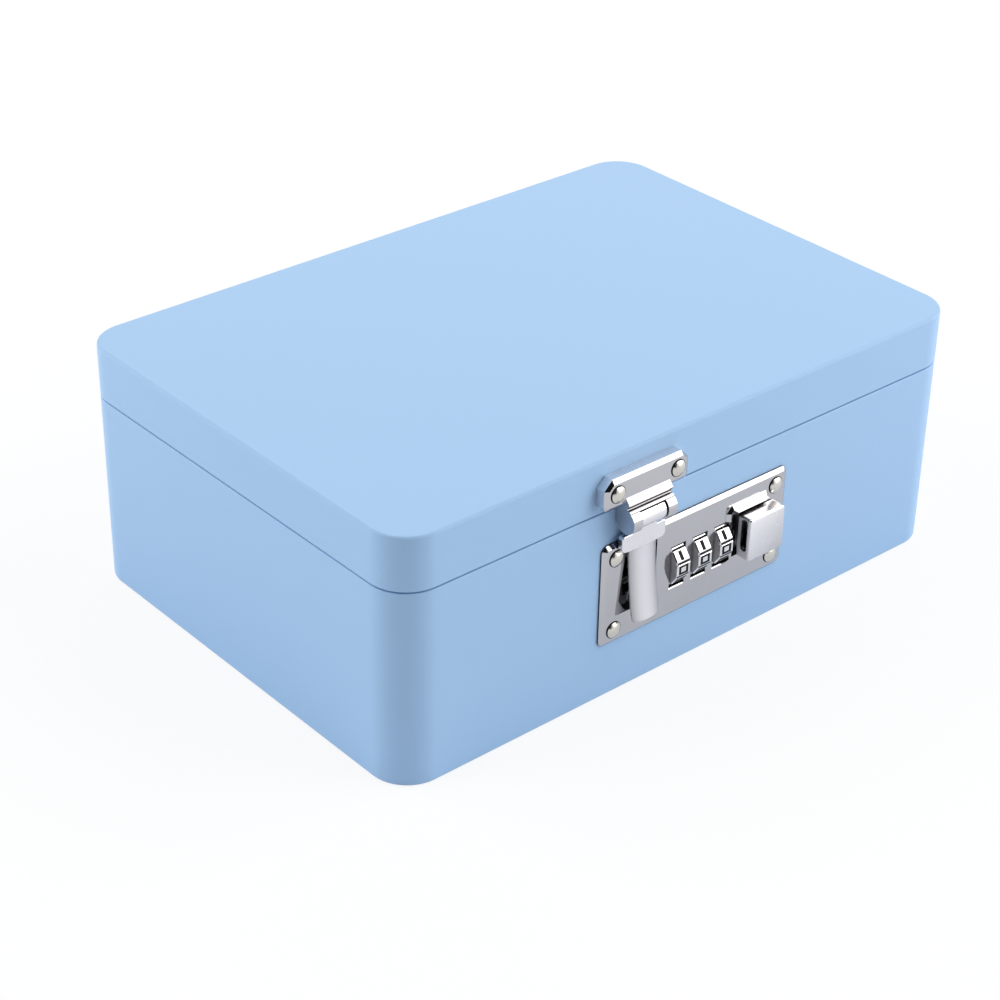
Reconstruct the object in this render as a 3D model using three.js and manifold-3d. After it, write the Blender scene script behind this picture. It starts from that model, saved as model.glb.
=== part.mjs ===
// Lockable steel medicine box with a three-wheel combination hasp lock.
// Millimetres. The origin is the middle of the flat bottom, +X runs along the front,
// the lock faces -Y and +Z is up. At the lock and the hinges, depths are measured outward from
// the front wall and heights from the body's rim.

import * as THREE from "three";
import { mergeVertices } from "three/addons/utils/BufferGeometryUtils.js";
import Module from "manifold-3d";

const wasm = await Module();
wasm.setup();

// Clearances and shared small sizes
const RUN_GAP = 0.3; // between pieces that pass each other
const HOLE_GAP = 0.25; // round a rivet or a screw in its hole
const SEAT_GAP = 0.3; // between a turned piece and what it rests on
const OVERRUN = 1; // how far a cut runs past the face it opens
const ROUND_STEPS = 16; // sides of a small round
const CORNER_STEPS = 8; // sides of a box corner
const EDGE_STEPS = 2; // sides of a rounded edge
const TINY_SHARE = 0.05; // what a corner keeps of its radius when it is drawn in past it

// Box
const BOX_LENGTH = 195;
const BOX_DEPTH = 135;
const CORNER_RADIUS = 11.1;
const SHEET = 0.8;
const BOTTOM_EDGE = 0.9;
const LID_EDGE = 1.1;
const BODY_HEIGHT = 56.4;
const LID_HEIGHT = 15.2;
const RIM_EDGE = 0.35;
const SEAM_GAP = 0.4;
const NECK_HEIGHT = 4;
const NECK_GAP = 0.4;
const SHELF_SHEET = 0.9;
const FRONT = BOX_DEPTH / 2;

// Lock plate
const PLATE_WIDTH = 66;
const PLATE_HEIGHT = 30.1;
const PLATE_CENTRE_X = -0.6;
const PLATE_CENTRE_Z = -24.85;
const PLATE_THICK = 1.2;
const PLATE_BEVEL = 1.1;
const PLATE_BEVEL_DEPTH = 0.9;
const PLATE_CORNER = 2;

// Slot that the hasp's hook enters, open at the plate's top edge
const SLOT_LEFT_TOP_X = -27.4;
const SLOT_LEFT_LOW_X = -28.9;
const SLOT_RIGHT_X = -15;
const SLOT_LOW_Z = -31.6;
const SLOT_HIGH_Z = -16.4;
const SLOT_CORNER = 0.8;
const SLOT_MOUTH_Z = -13; // how high the wall is open behind the slot

// Rivets of the lock plate and of the hasp plate
const RIVET_HEAD_RADIUS = 2.45;
const RIVET_HEAD_HEIGHT = 1.25;
const RIVET_SHANK_RADIUS = 1;
const RIVET_TAIL_RADIUS = 1.6;
const RIVET_TAIL_HEIGHT = 0.7;
const RIVET_STEPS = 12;
const DOME_STEPS = 3;
const PLATE_RIVET_LEFT_X = -29.1;
const PLATE_RIVET_RIGHT_X = 27.9;
const PLATE_RIVET_LOW_Z = -35.6;
const PLATE_RIVET_HIGH_Z = -14.1;

// Code wheels: ten flats round a shaft that lies behind the plate
const WHEEL_COUNT = 3;
const WHEEL_FLATS = 10;
const WHEEL_RADIUS = 6.5;
const WHEEL_WIDTH = 4.7;
const WHEEL_PITCH = 7.8;
const WHEEL_MIDDLE_X = 0.55;
const WHEEL_GROOVE_WIDTH = 0.55;
const WHEEL_GROOVE_DEPTH = 0.4;
const WHEEL_BACK_GAP = 0.6;
const WINDOW_GAP = 0.35;
const SHAFT_Z = -24.8;
const SHAFT_DEPTH = -2.4;
const SHAFT_RADIUS = 1;
const SHAFT_END_RADIUS = 0.7;

// Sleeve in each wheel, with a gate at its left end for the shaft's fin
const SLEEVE_RADIUS = 2.9;
const SLEEVE_GATE = 0.8;
const CHAMBER_RADIUS = 2.1;
const SLEEVE_END = 0.4;
const SLEEVE_NECK_RADIUS = 2;
const GATE_WIDTH = 1.6;
const FIN_RADIUS = 1.8;
const FIN_WIDTH = 1;
const FIN_THICK = 0.9;

// Release button and its travel
const BUTTON_WIDTH = 13.3;
const BUTTON_HEIGHT = 13.1;
const BUTTON_LEFT_X = 14.2;
const BUTTON_LOW_Z = -30.8;
const BUTTON_DEPTH = 6;
const BUTTON_EDGE = 0.8;
const BUTTON_CORNER = 1.2;
const BUTTON_WALL = 1.3;
const BUTTON_TRAVEL = 2;
const BUTTON_POCKET_SHARE = 0.72;
const BUTTON_POCKET_DEPTH = 1.6;
const POCKET_BACK = 2.7;
const POCKET_WIDTH = 2.4;
const STEM_X = 20.9;
const STEM_WIDTH = 3;
const STEM_HEIGHT = 5;

// Collar round the button, open at its right and below
const COLLAR_LEFT_X = 9.85;
const COLLAR_RIGHT_X = 25;
const COLLAR_LOW_Z = -31.2;
const COLLAR_TOP_Z = -14.3;
const COLLAR_SLOPE = 1;
const COLLAR_RIM = 1;
const COLLAR_TOP_RIM = 1.5;
const COLLAR_DEPTH = 2.1;
const COLLAR_CORNER = 1.2;
const WELL_RIGHT_X = 24.2;
const WELL_CORNER = 0.8;

// Works behind the front wall
const CASE_LEFT_X = -30.6;
const CASE_RIGHT_X = 29.4;
const CASE_LOW_Z = -33;
const CASE_HIGH_Z = -15.8;
const CASE_WALL = 0.8;
const CASE_CORNER = 1.2;
const FLANGE_THICK = 1;
const FLANGE_MARGIN = 2.4;
const FLANGE_CORNER = 2;
const BEARING_WALL = 1;
const COVER_THICK = 0.8;
const SCREW_HEAD_RADIUS = 1.5;
const SCREW_HEAD_HEIGHT = 0.8;
const SCREW_SHANK_RADIUS = 0.7;
const SCREW_CROWN_SHARE = 0.8;
const SCREW_SLOT = 0.4;
const SCREW_BOSS_RADIUS = 2;
const SCREW_BOSS_HEIGHT = 3;
const SCREW_FLOOR = 0.6;
const CATCH_THICK = 1.2;
const CATCH_FRONT = -0.3;
const CATCH_BACK = -4;
const CATCH_MARGIN = 1.6;
const NOSE_THICK = 0.6;
const NOSE_LENGTH = 2.8;
const CLIP_WIDTH = 0.8;
const CLIP_RADIUS = 1.5;
const CLIP_GROOVE_RADIUS = 0.4;
const CLIP_SIDE_GAP = 0.1;
const SHAFT_TAIL = 0.6;
const DETENT_THICK = 0.3;
const DETENT_BACK = -6.6;
const DETENT_FRONT = -1.1;
const DETENT_STRIP = 2;
const DETENT_RISE = 0.3;
const DETENT_FINGER = 3;

// Coil springs
const SPRING_WIRE = 0.45;
const COIL_STEPS = 8;
const WIRE_SIDES = 6;
const COIL_SEAT = 0.15;
const SHAFT_SPRING_LENGTH = 2.2;
const SHAFT_COIL_RADIUS = 1.7;
const SHAFT_COIL_TURNS = 2;
const SLIDE_COIL_RADIUS = 1.75;
const SLIDE_COIL_TURNS = 3;
const HASP_COIL_RADIUS = 1.65;
const HASP_COIL_TURNS = 5;

// Hasp
const HASP_LEFT_X = -36.05;
const HASP_RIGHT_X = -7.55;
const HASP_LOW_Z = 2.45;
const HASP_HIGH_Z = 11.1;
const HASP_DEPTH = 3.7;
const HASP_BEVEL = 1.2;
const HASP_BEVEL_DEPTH = 0.8;
const HASP_CORNER_CUT = 2.6;
const HASP_LOW_CORNER = 1.6;
const LOW_CORNER_STEPS = 4;
const CUT_CORNER_STEPS = 1;
const LIP_RISE = 0.95;
const LIP_DEPTH = 5;
const LIP_Z = 3;
const LIP_THICK = 0.6;
const LIP_NOTCH = 0.8; // how far the line under the lip is cut in
const BACKING_THICK = 0.8;
const BACKING_MARGIN = 0.6;
const HASP_RIVET_SPACING = 20.4;
const HASP_RIVET_Z = 6.8;
const HASP_X = (HASP_LEFT_X + HASP_RIGHT_X) / 2;
const BARREL_WIDTH = 14.9;
const BARREL_DEPTH = 3.7;
const BARREL_Z = -2.2;
const EAR_WIDTH = 3;
const EAR_BACK = 0.2;
const EAR_FLOOR = 0.6;
const KNUCKLE_RADIUS = 2.95;
const KNUCKLE_GAP = 0.3;
const CAP_THICK = 0.4;
const CAP_END_DEGREES = 56;
const PIN_RADIUS = 0.9;
const PIN_BORE_GAP = 0.2;
const SPRING_ROOM_RADIUS = 2.25;
const SPRING_ROOM_WALL = 1.5;
const SHOULDER_HIGH_Z = -7.1;
const SHOULDER_LOW_Z = -12.4;
const SHOULDER_BOW = 0.9;
const SHOULDER_DEPTH = 3.3;
const SHOULDER_CORNER = 0.9;
const ARM_STAND_OFF = 0.3;
const TONGUE_WIDTH = 9.3;
const TONGUE_SHIFT = 0.8; // the tongue stands this far right of the hasp's middle
const TONGUE_LOW_Z = -33.6;
const TONGUE_TOP_DEPTH = 3;
const TONGUE_LOW_DEPTH = 5.4;
const TONGUE_SHEET = 1.4;
const TONGUE_CORNER = 1.2;
const HOOK_WIDTH = 3;
const HOOK_LOW_Z = -30.4;
const HOOK_HEIGHT = 2.6;
const HOOK_REACH = -1.6;
const HOOK_HEAD = 0.6;
const HOOK_NOTCH = 1;

// Rear hinges
const HINGE_INSET = 35.5; // from the end of the box to the middle of a hinge
const HINGE_WIDTH = 30;
const HINGE_KNUCKLES = 3;
const HINGE_RADIUS = 1.9;
const HINGE_PIN_RADIUS = 0.8;
const HINGE_LEAF = 0.8;
const HINGE_LEAF_HEIGHT = 8.4;
const HINGE_RIVET_SPACING = 18;
const HINGE_HEAD_RADIUS = 1.6;
const HINGE_HEAD_HEIGHT = 0.7;
const HINGE_SHANK_RADIUS = 0.8;
const HINGE_TAIL_RADIUS = 1.4;
const HINGE_TAIL_HEIGHT = 0.5;
const LEAF_CORNER = 1.5;

// Places worked out from the sizes above
const LID_LOW_Z = BODY_HEIGHT + SEAM_GAP;
const BOX_HEIGHT = LID_LOW_Z + LID_HEIGHT;
const WALL_BACK = -SHEET;
const FLANGE_BACK = WALL_BACK - FLANGE_THICK;
const COVER_FRONT = SHAFT_DEPTH - WHEEL_RADIUS - WHEEL_BACK_GAP;
const COVER_BACK = COVER_FRONT - COVER_THICK;
const FLOOR_Z = CASE_LOW_Z + CASE_WALL;
const BUTTON_BACK = PLATE_THICK + RUN_GAP;
const wheelX = (i) => WHEEL_MIDDLE_X + (i - (WHEEL_COUNT - 1) / 2) * WHEEL_PITCH;
const WHEELS_LEFT = wheelX(0) - WHEEL_WIDTH / 2;
const WHEELS_RIGHT = wheelX(WHEEL_COUNT - 1) + WHEEL_WIDTH / 2;
const BEARING_LEFT_X = WHEELS_LEFT - RUN_GAP - BEARING_WALL;
const BEARING_RIGHT_X = WHEELS_RIGHT + WHEEL_PITCH - WHEEL_WIDTH + SHAFT_SPRING_LENGTH;
const BARREL_LEFT_X = HASP_X - BARREL_WIDTH / 2;
const NOSE_TIP_X = HASP_X - HOOK_WIDTH / 2 - RUN_GAP;
const CATCH_LEFT_X = NOSE_TIP_X - NOSE_LENGTH;
const CLIP_X = STEM_X + STEM_WIDTH + HOLE_GAP;
const SHAFT_RIGHT_X = CLIP_X + CLIP_WIDTH + SHAFT_TAIL;
const finX = (i) => wheelX(i) - WHEEL_WIDTH / 2 + SLEEVE_GATE + RUN_GAP + BUTTON_TRAVEL;
const HINGE_OUT = HINGE_RADIUS + SEAT_GAP;
const HINGE_X = BOX_LENGTH / 2 - HINGE_INSET;
const HINGE_Z = SEAM_GAP / 2;
const LEAF_START = HINGE_RADIUS + RUN_GAP;
const BODY_RIVET_Z = HINGE_Z - LEAF_START - HINGE_LEAF_HEIGHT / 2;
const LID_RIVET_Z = HINGE_Z + LEAF_START + HINGE_LEAF_HEIGHT / 2;

// Finishes
const finish = (color, roughness, metalness) =>
  new THREE.MeshStandardMaterial({ color, roughness, metalness });
const BLUE_PAINT = finish(0xa9c8ea, 0.45, 0);
const CHROME = finish(0xd8d9dc, 0.12, 1);
const SATIN = finish(0xcfd0d4, 0.35, 1);
const STEEL = finish(0x9a9ca0, 0.4, 1);
const SPRING_STEEL = finish(0x6f7278, 0.35, 1);

// A closed geometry as a solid, without the doubled corners and empty faces
function solid(geometry) {
  const bare = geometry.clone();
  bare.deleteAttribute("normal");
  bare.deleteAttribute("uv");
  const merged = mergeVertices(bare);
  const index = merged.index.array;
  const faces = [];
  for (let i = 0; i < index.length; i += 3) {
    const [a, b, c] = index.slice(i, i + 3);
    if (a !== b && b !== c && c !== a) faces.push(a, b, c);
  }
  const vertProperties = Float32Array.from(merged.attributes.position.array);
  const triVerts = Uint32Array.from(faces);
  return new wasm.Manifold(new wasm.Mesh({ numProp: 3, vertProperties, triVerts }));
}

// A solid as a named mesh
function piece(name, body, material) {
  const { vertProperties, triVerts } = body.getMesh();
  const geometry = new THREE.BufferGeometry();
  geometry.setAttribute("position", new THREE.BufferAttribute(Float32Array.from(vertProperties), 3));
  geometry.setIndex(new THREE.BufferAttribute(Uint32Array.from(triVerts), 1));
  geometry.computeVertexNormals();
  const mesh = new THREE.Mesh(geometry, material);
  mesh.name = name;
  return mesh;
}

// The two ways to stand a drawn outline: x-z seen from the front, depth-z seen from the side
const axes = (u, v, w) => new THREE.Matrix4().makeBasis(u, v, w);
const X = new THREE.Vector3(1, 0, 0);
const Z = new THREE.Vector3(0, 0, 1);
const OUT = new THREE.Vector3(0, -1, 0);
const FRONT_VIEW = axes(X, Z, OUT).setPosition(0, -FRONT, BODY_HEIGHT);
const SIDE_VIEW = axes(OUT, Z, X.clone().negate()).setPosition(0, -FRONT, BODY_HEIGHT);

function extrude(shape, length, curveSegments = ROUND_STEPS / 4) {
  return new THREE.ExtrudeGeometry(shape, { depth: length, bevelEnabled: false, curveSegments });
}

// An outline in x and z, from one depth outward to another
function outward(shape, fromDepth, toDepth) {
  const geometry = extrude(shape, toDepth - fromDepth).translate(0, 0, fromDepth);
  return solid(geometry.applyMatrix4(FRONT_VIEW));
}

// An outline in depth and z, from one x to another
function across(shape, fromX, toX) {
  const geometry = extrude(shape, toX - fromX).translate(0, 0, -toX);
  return solid(geometry.applyMatrix4(SIDE_VIEW));
}

// A geometry as a solid at an x, a depth and a height
function placed(geometry, x, depth, z) {
  return solid(geometry.translate(x, -FRONT - depth, BODY_HEIGHT + z));
}

function box(x0, x1, depth0, depth1, z0, z1) {
  const geometry = new THREE.BoxGeometry(x1 - x0, depth1 - depth0, z1 - z0);
  return placed(geometry, (x0 + x1) / 2, (depth0 + depth1) / 2, (z0 + z1) / 2);
}

// A round bar along x at a depth and height
function barX(radius, x0, x1, depth, z, steps = ROUND_STEPS) {
  const geometry = new THREE.CylinderGeometry(radius, radius, x1 - x0, steps);
  return placed(geometry.rotateZ(Math.PI / 2), (x0 + x1) / 2, depth, z);
}

// A round bar along y between two depths
function barY(radius, x, z, depth0, depth1, steps = ROUND_STEPS) {
  const geometry = new THREE.CylinderGeometry(radius, radius, depth1 - depth0, steps);
  return placed(geometry, x, (depth0 + depth1) / 2, z);
}

function polygon(points) {
  return new THREE.Shape(points.map(([u, v]) => new THREE.Vector2(u, v)));
}

// The corner points of a rectangle with its own radius and number of steps at each corner,
// counter-clockwise from the lower left, drawn in by an inset
function rectangle({ x0, x1, y0, y1, radii, steps }, inset) {
  const signs = [[-1, -1], [1, -1], [1, 1], [-1, 1]];
  const points = [];
  signs.forEach(([sx, sy], corner) => {
    const radius = Math.max(radii[corner] - inset, radii[corner] * TINY_SHARE);
    const cx = (sx < 0 ? x0 + inset : x1 - inset) - sx * radius;
    const cy = (sy < 0 ? y0 + inset : y1 - inset) - sy * radius;
    for (let k = 0; k <= steps[corner]; k += 1) {
      const angle = Math.PI + (corner + k / steps[corner]) * (Math.PI / 2);
      points.push([cx + radius * Math.cos(angle), cy + radius * Math.sin(angle)]);
    }
  });
  return points;
}

// A closed skin through the rectangle drawn in by each inset at each height, with both ends capped
function loft(frame, profile) {
  const rings = profile.map(([inset, height]) => rectangle(frame, inset).map(([u, v]) => [u, v, height]));
  const count = rings[0].length;
  const positions = rings.flat(2);
  const index = [];
  for (let j = 0; j + 1 < rings.length; j += 1) {
    for (let k = 0; k < count; k += 1) {
      const next = (k + 1) % count;
      const [a, b] = [j * count + k, j * count + next];
      index.push(a, b, b + count, a, b + count, a + count);
    }
  }
  const cap = (ring) => THREE.ShapeUtils.triangulateShape(ring.map(([u, v]) => new THREE.Vector2(u, v)), []);
  for (const [a, b, c] of cap(rings[0])) index.push(c, b, a);
  const top = (rings.length - 1) * count;
  for (const [a, b, c] of cap(rings[rings.length - 1])) index.push(top + a, top + b, top + c);
  const geometry = new THREE.BufferGeometry();
  geometry.setAttribute("position", new THREE.Float32BufferAttribute(positions, 3));
  geometry.setIndex(index);
  return geometry;
}

// A quarter round between two profile points; the first leaves along the inset or along the height
function quarter([inset0, height0], [inset1, height1], insetFirst, steps = EDGE_STEPS) {
  const points = [];
  for (let k = 0; k <= steps; k += 1) {
    const sine = Math.sin((k / steps) * (Math.PI / 2));
    const rise = 1 - Math.cos((k / steps) * (Math.PI / 2));
    const [share, shareUp] = insetFirst ? [sine, rise] : [rise, sine];
    points.push([inset0 + (inset1 - inset0) * share, height0 + (height1 - height0) * shareUp]);
  }
  return points;
}

// A rectangle with four equal corners
function evenFrame(x0, x1, y0, y1, radius, steps = ROUND_STEPS / 4) {
  return { x0, x1, y0, y1, radii: Array(4).fill(radius), steps: Array(4).fill(steps) };
}

function roundedOutline(x0, x1, y0, y1, radius, steps) {
  return polygon(rectangle(evenFrame(x0, x1, y0, y1, radius, steps), 0));
}

// Box: the tub with its drawn-in neck, and the lid
const FOOTPRINT = evenFrame(-BOX_LENGTH / 2, BOX_LENGTH / 2, -FRONT, FRONT, CORNER_RADIUS, CORNER_STEPS);
const NECK_INSET = SHEET + NECK_GAP;
const NECK_TOP_Z = BODY_HEIGHT + NECK_HEIGHT;

function bodyTub() {
  const inner = SHEET + BOTTOM_EDGE;
  const neckIn = NECK_INSET + SHEET;
  const skin = loft(FOOTPRINT, [
    ...quarter([BOTTOM_EDGE, 0], [0, BOTTOM_EDGE], true),
    ...quarter([0, BODY_HEIGHT - RIM_EDGE], [RIM_EDGE, BODY_HEIGHT], false),
    [NECK_INSET, BODY_HEIGHT],
    ...quarter([NECK_INSET, NECK_TOP_Z - RIM_EDGE], [NECK_INSET + RIM_EDGE, NECK_TOP_Z], false),
    [neckIn, NECK_TOP_Z],
    [neckIn, BODY_HEIGHT - SHELF_SHEET],
    [SHEET, BODY_HEIGHT - SHELF_SHEET],
    ...quarter([SHEET, inner], [inner, SHEET], false),
  ]);
  let tub = solid(skin);
  const mouth = OVERRUN + SHEET;
  const [mouthLeft, mouthRight] = [CASE_LEFT_X + CASE_WALL, CASE_RIGHT_X - CASE_WALL];
  const mouthHigh = COLLAR_TOP_Z - COLLAR_SLOPE - COLLAR_TOP_RIM + RUN_GAP;
  tub = tub.subtract(box(mouthLeft, mouthRight, -mouth, OVERRUN, FLOOR_Z, mouthHigh));
  tub = tub.subtract(box(SLOT_LEFT_TOP_X, SLOT_RIGHT_X, -mouth, OVERRUN, FLOOR_Z, SLOT_MOUTH_Z));
  for (const [x, z] of plateRivetPlaces()) {
    tub = tub.subtract(barY(RIVET_SHANK_RADIUS + HOLE_GAP, x, z, -mouth, OVERRUN));
  }
  for (const x of hingeRivetXs()) {
    tub = tub.subtract(rearHole(HINGE_SHANK_RADIUS + HOLE_GAP, x, BODY_RIVET_Z));
  }
  return tub;
}

function lidShell() {
  const inner = SHEET + LID_EDGE;
  const ceiling = BOX_HEIGHT - SHEET;
  const skin = loft(FOOTPRINT, [
    ...quarter([inner, ceiling], [SHEET, ceiling - LID_EDGE], true),
    [SHEET, LID_LOW_Z],
    ...quarter([RIM_EDGE, LID_LOW_Z], [0, LID_LOW_Z + RIM_EDGE], true),
    ...quarter([0, BOX_HEIGHT - LID_EDGE], [LID_EDGE, BOX_HEIGHT], false),
  ]);
  let lid = solid(skin);
  for (const x of haspRivetXs()) {
    lid = lid.subtract(barY(RIVET_SHANK_RADIUS + HOLE_GAP, x, HASP_RIVET_Z, -SHEET - OVERRUN, OVERRUN));
  }
  for (const x of hingeRivetXs()) {
    lid = lid.subtract(rearHole(HINGE_SHANK_RADIUS + HOLE_GAP, x, LID_RIVET_Z));
  }
  return lid;
}

// A profile of radius and height turned about its own line
function lathe(profile) {
  const points = profile.map(([radius, height]) => new THREE.Vector2(radius, height));
  return new THREE.LatheGeometry(points, RIVET_STEPS);
}

// Rivets: a dome, a shank and a flat tail
function domeRivet(headRadius, headHeight, shankRadius, grip, tailRadius, tailHeight) {
  const low = -grip - tailHeight;
  const profile = [[0, low], [tailRadius, low], [tailRadius, -grip], [shankRadius, -grip], [shankRadius, 0]];
  for (let k = 0; k <= DOME_STEPS; k += 1) {
    const angle = (k / DOME_STEPS) * (Math.PI / 2);
    profile.push([k < DOME_STEPS ? headRadius * Math.cos(angle) : 0, headHeight * Math.sin(angle)]);
  }
  return lathe(profile);
}

function plateRivetPlaces() {
  const places = [];
  for (const z of [PLATE_RIVET_HIGH_Z, PLATE_RIVET_LOW_Z]) {
    for (const x of [PLATE_RIVET_LEFT_X, PLATE_RIVET_RIGHT_X]) places.push([x, z]);
  }
  return places;
}

function haspRivetXs() {
  return [HASP_X - HASP_RIVET_SPACING / 2, HASP_X + HASP_RIVET_SPACING / 2];
}

function frontRivet(x, z, depth, grip) {
  const turned = domeRivet(
    RIVET_HEAD_RADIUS, RIVET_HEAD_HEIGHT, RIVET_SHANK_RADIUS, grip, RIVET_TAIL_RADIUS, RIVET_TAIL_HEIGHT);
  return placed(turned.rotateX(Math.PI), x, depth, z);
}

// Lock plate: bevelled slab with the hasp slot, the wheel windows and the collar of the button
function plateFrame() {
  const [x0, y0] = [PLATE_CENTRE_X - PLATE_WIDTH / 2, PLATE_CENTRE_Z - PLATE_HEIGHT / 2];
  return evenFrame(x0, x0 + PLATE_WIDTH, y0, y0 + PLATE_HEIGHT, PLATE_CORNER);
}

function slotOutline(topZ) {
  const slope = (SLOT_LEFT_TOP_X - SLOT_LEFT_LOW_X) / (SLOT_HIGH_Z - SLOT_LOW_Z);
  const shape = new THREE.Shape();
  shape.moveTo(SLOT_LEFT_LOW_X + SLOT_CORNER, SLOT_LOW_Z);
  shape.lineTo(SLOT_RIGHT_X - SLOT_CORNER, SLOT_LOW_Z);
  shape.quadraticCurveTo(SLOT_RIGHT_X, SLOT_LOW_Z, SLOT_RIGHT_X, SLOT_LOW_Z + SLOT_CORNER);
  shape.lineTo(SLOT_RIGHT_X, topZ);
  shape.lineTo(SLOT_LEFT_TOP_X, topZ);
  shape.lineTo(SLOT_LEFT_TOP_X, SLOT_HIGH_Z);
  shape.lineTo(SLOT_LEFT_LOW_X + slope * SLOT_CORNER, SLOT_LOW_Z + SLOT_CORNER);
  shape.quadraticCurveTo(SLOT_LEFT_LOW_X, SLOT_LOW_Z, SLOT_LEFT_LOW_X + SLOT_CORNER, SLOT_LOW_Z);
  return shape;
}

function lockPlate() {
  const land = PLATE_THICK - PLATE_BEVEL_DEPTH;
  const skin = loft(plateFrame(), [[0, 0], [0, land], [PLATE_BEVEL, PLATE_THICK]]);
  let plate = solid(skin.applyMatrix4(FRONT_VIEW));
  const collar = evenFrame(COLLAR_LEFT_X, COLLAR_RIGHT_X, COLLAR_LOW_Z, COLLAR_TOP_Z, COLLAR_CORNER);
  const rim = loft(collar, [[0, land], [0, PLATE_THICK], [COLLAR_SLOPE, COLLAR_DEPTH]]);
  plate = plate.add(solid(rim.applyMatrix4(FRONT_VIEW)));
  const wellX = COLLAR_LEFT_X + COLLAR_SLOPE + COLLAR_RIM;
  const wellTop = COLLAR_TOP_Z - COLLAR_SLOPE - COLLAR_TOP_RIM;
  const wellLow = COLLAR_LOW_Z - OVERRUN;
  const front = COLLAR_DEPTH + OVERRUN;
  const openEnd = COLLAR_RIGHT_X + OVERRUN;
  const open = polygon([[wellX, wellLow], [openEnd, wellLow], [openEnd, wellTop], [wellX, wellTop]]);
  plate = plate.subtract(outward(open, PLATE_THICK, front));
  const well = roundedOutline(wellX, WELL_RIGHT_X, BUTTON_LOW_Z + RUN_GAP, wellTop, WELL_CORNER);
  plate = plate.subtract(outward(well, -OVERRUN, front));
  const half = WHEEL_WIDTH / 2 + WINDOW_GAP;
  const rise = Math.sqrt(WHEEL_RADIUS ** 2 - SHAFT_DEPTH ** 2) + WINDOW_GAP;
  for (let i = 0; i < WHEEL_COUNT; i += 1) {
    const [x0, x1] = [wheelX(i) - half, wheelX(i) + half];
    plate = plate.subtract(box(x0, x1, -OVERRUN, front, SHAFT_Z - rise, SHAFT_Z + rise));
  }
  const topZ = PLATE_CENTRE_Z + PLATE_HEIGHT / 2 + OVERRUN;
  plate = plate.subtract(outward(slotOutline(topZ), -OVERRUN, PLATE_THICK + OVERRUN));
  for (const [x, z] of plateRivetPlaces()) {
    plate = plate.subtract(barY(RIVET_SHANK_RADIUS + HOLE_GAP, x, z, -OVERRUN, PLATE_THICK + OVERRUN));
  }
  return plate;
}

// Code wheels: ten flats with a groove at each corner, and the sleeve that turns with each wheel
function codeWheel(i) {
  const half = WHEEL_RADIUS * Math.sin(Math.PI / WHEEL_FLATS) - WHEEL_GROOVE_WIDTH / 2;
  const flat = WHEEL_RADIUS * Math.cos(Math.PI / WHEEL_FLATS);
  const points = [];
  for (let k = 0; k < WHEEL_FLATS; k += 1) {
    const angle = (k * 2 * Math.PI) / WHEEL_FLATS;
    const corner = angle + Math.PI / WHEEL_FLATS;
    for (const along of [-half, half]) {
      const depth = SHAFT_DEPTH + flat * Math.cos(angle) - along * Math.sin(angle);
      points.push([depth, SHAFT_Z + flat * Math.sin(angle) + along * Math.cos(angle)]);
    }
    const low = WHEEL_RADIUS - WHEEL_GROOVE_DEPTH;
    points.push([SHAFT_DEPTH + low * Math.cos(corner), SHAFT_Z + low * Math.sin(corner)]);
  }
  const [x0, x1] = [wheelX(i) - WHEEL_WIDTH / 2, wheelX(i) + WHEEL_WIDTH / 2];
  const bore = shaftBar(SLEEVE_RADIUS + RUN_GAP, x0 - OVERRUN, x1 + OVERRUN);
  return across(polygon(points), x0, x1).subtract(bore);
}

// A round bar on the line of the wheels' shaft
function shaftBar(radius, x0, x1) {
  return barX(radius, x0, x1, SHAFT_DEPTH, SHAFT_Z);
}

function codeSleeve(i) {
  const x0 = wheelX(i) - WHEEL_WIDTH / 2;
  const x1 = x0 + WHEEL_WIDTH;
  const x2 = x0 + WHEEL_PITCH - RUN_GAP;
  let sleeve = shaftBar(SLEEVE_RADIUS, x0, x1);
  sleeve = sleeve.add(shaftBar(SLEEVE_NECK_RADIUS, x0, x2));
  sleeve = sleeve.subtract(shaftBar(SHAFT_RADIUS + RUN_GAP, x0 - OVERRUN, x2 + OVERRUN));
  const chamber = shaftBar(CHAMBER_RADIUS, x0 + SLEEVE_GATE, x1 - SLEEVE_END);
  const [low, high] = [SHAFT_Z - GATE_WIDTH / 2, SHAFT_Z + GATE_WIDTH / 2];
  const gateEnd = x0 + SLEEVE_GATE + RUN_GAP;
  const gate = box(x0 - OVERRUN, gateEnd, SHAFT_DEPTH, SHAFT_DEPTH + CHAMBER_RADIUS, low, high);
  return sleeve.subtract(chamber).subtract(gate);
}

// The sliding shaft: a fin for each sleeve, which meets the sleeve's gate when the code is right
function dialShaft() {
  let shaft = shaftBar(SHAFT_RADIUS, CATCH_LEFT_X, STEM_X - CLIP_SIDE_GAP);
  shaft = shaft.add(shaftBar(SHAFT_END_RADIUS, CATCH_LEFT_X, SHAFT_RIGHT_X));
  const [low, high] = [SHAFT_Z - FIN_THICK / 2, SHAFT_Z + FIN_THICK / 2];
  for (let i = 0; i < WHEEL_COUNT; i += 1) {
    const x1 = finX(i) + FIN_WIDTH;
    shaft = shaft.add(box(finX(i), x1, SHAFT_DEPTH, SHAFT_DEPTH + FIN_RADIUS, low, high));
  }
  const clipEnd = CLIP_X + CLIP_WIDTH;
  const core = shaftBar(CLIP_GROOVE_RADIUS, CLIP_X - OVERRUN, clipEnd + OVERRUN);
  return shaft.subtract(shaftBar(SHAFT_RADIUS + OVERRUN, CLIP_X, clipEnd).subtract(core));
}

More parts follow.
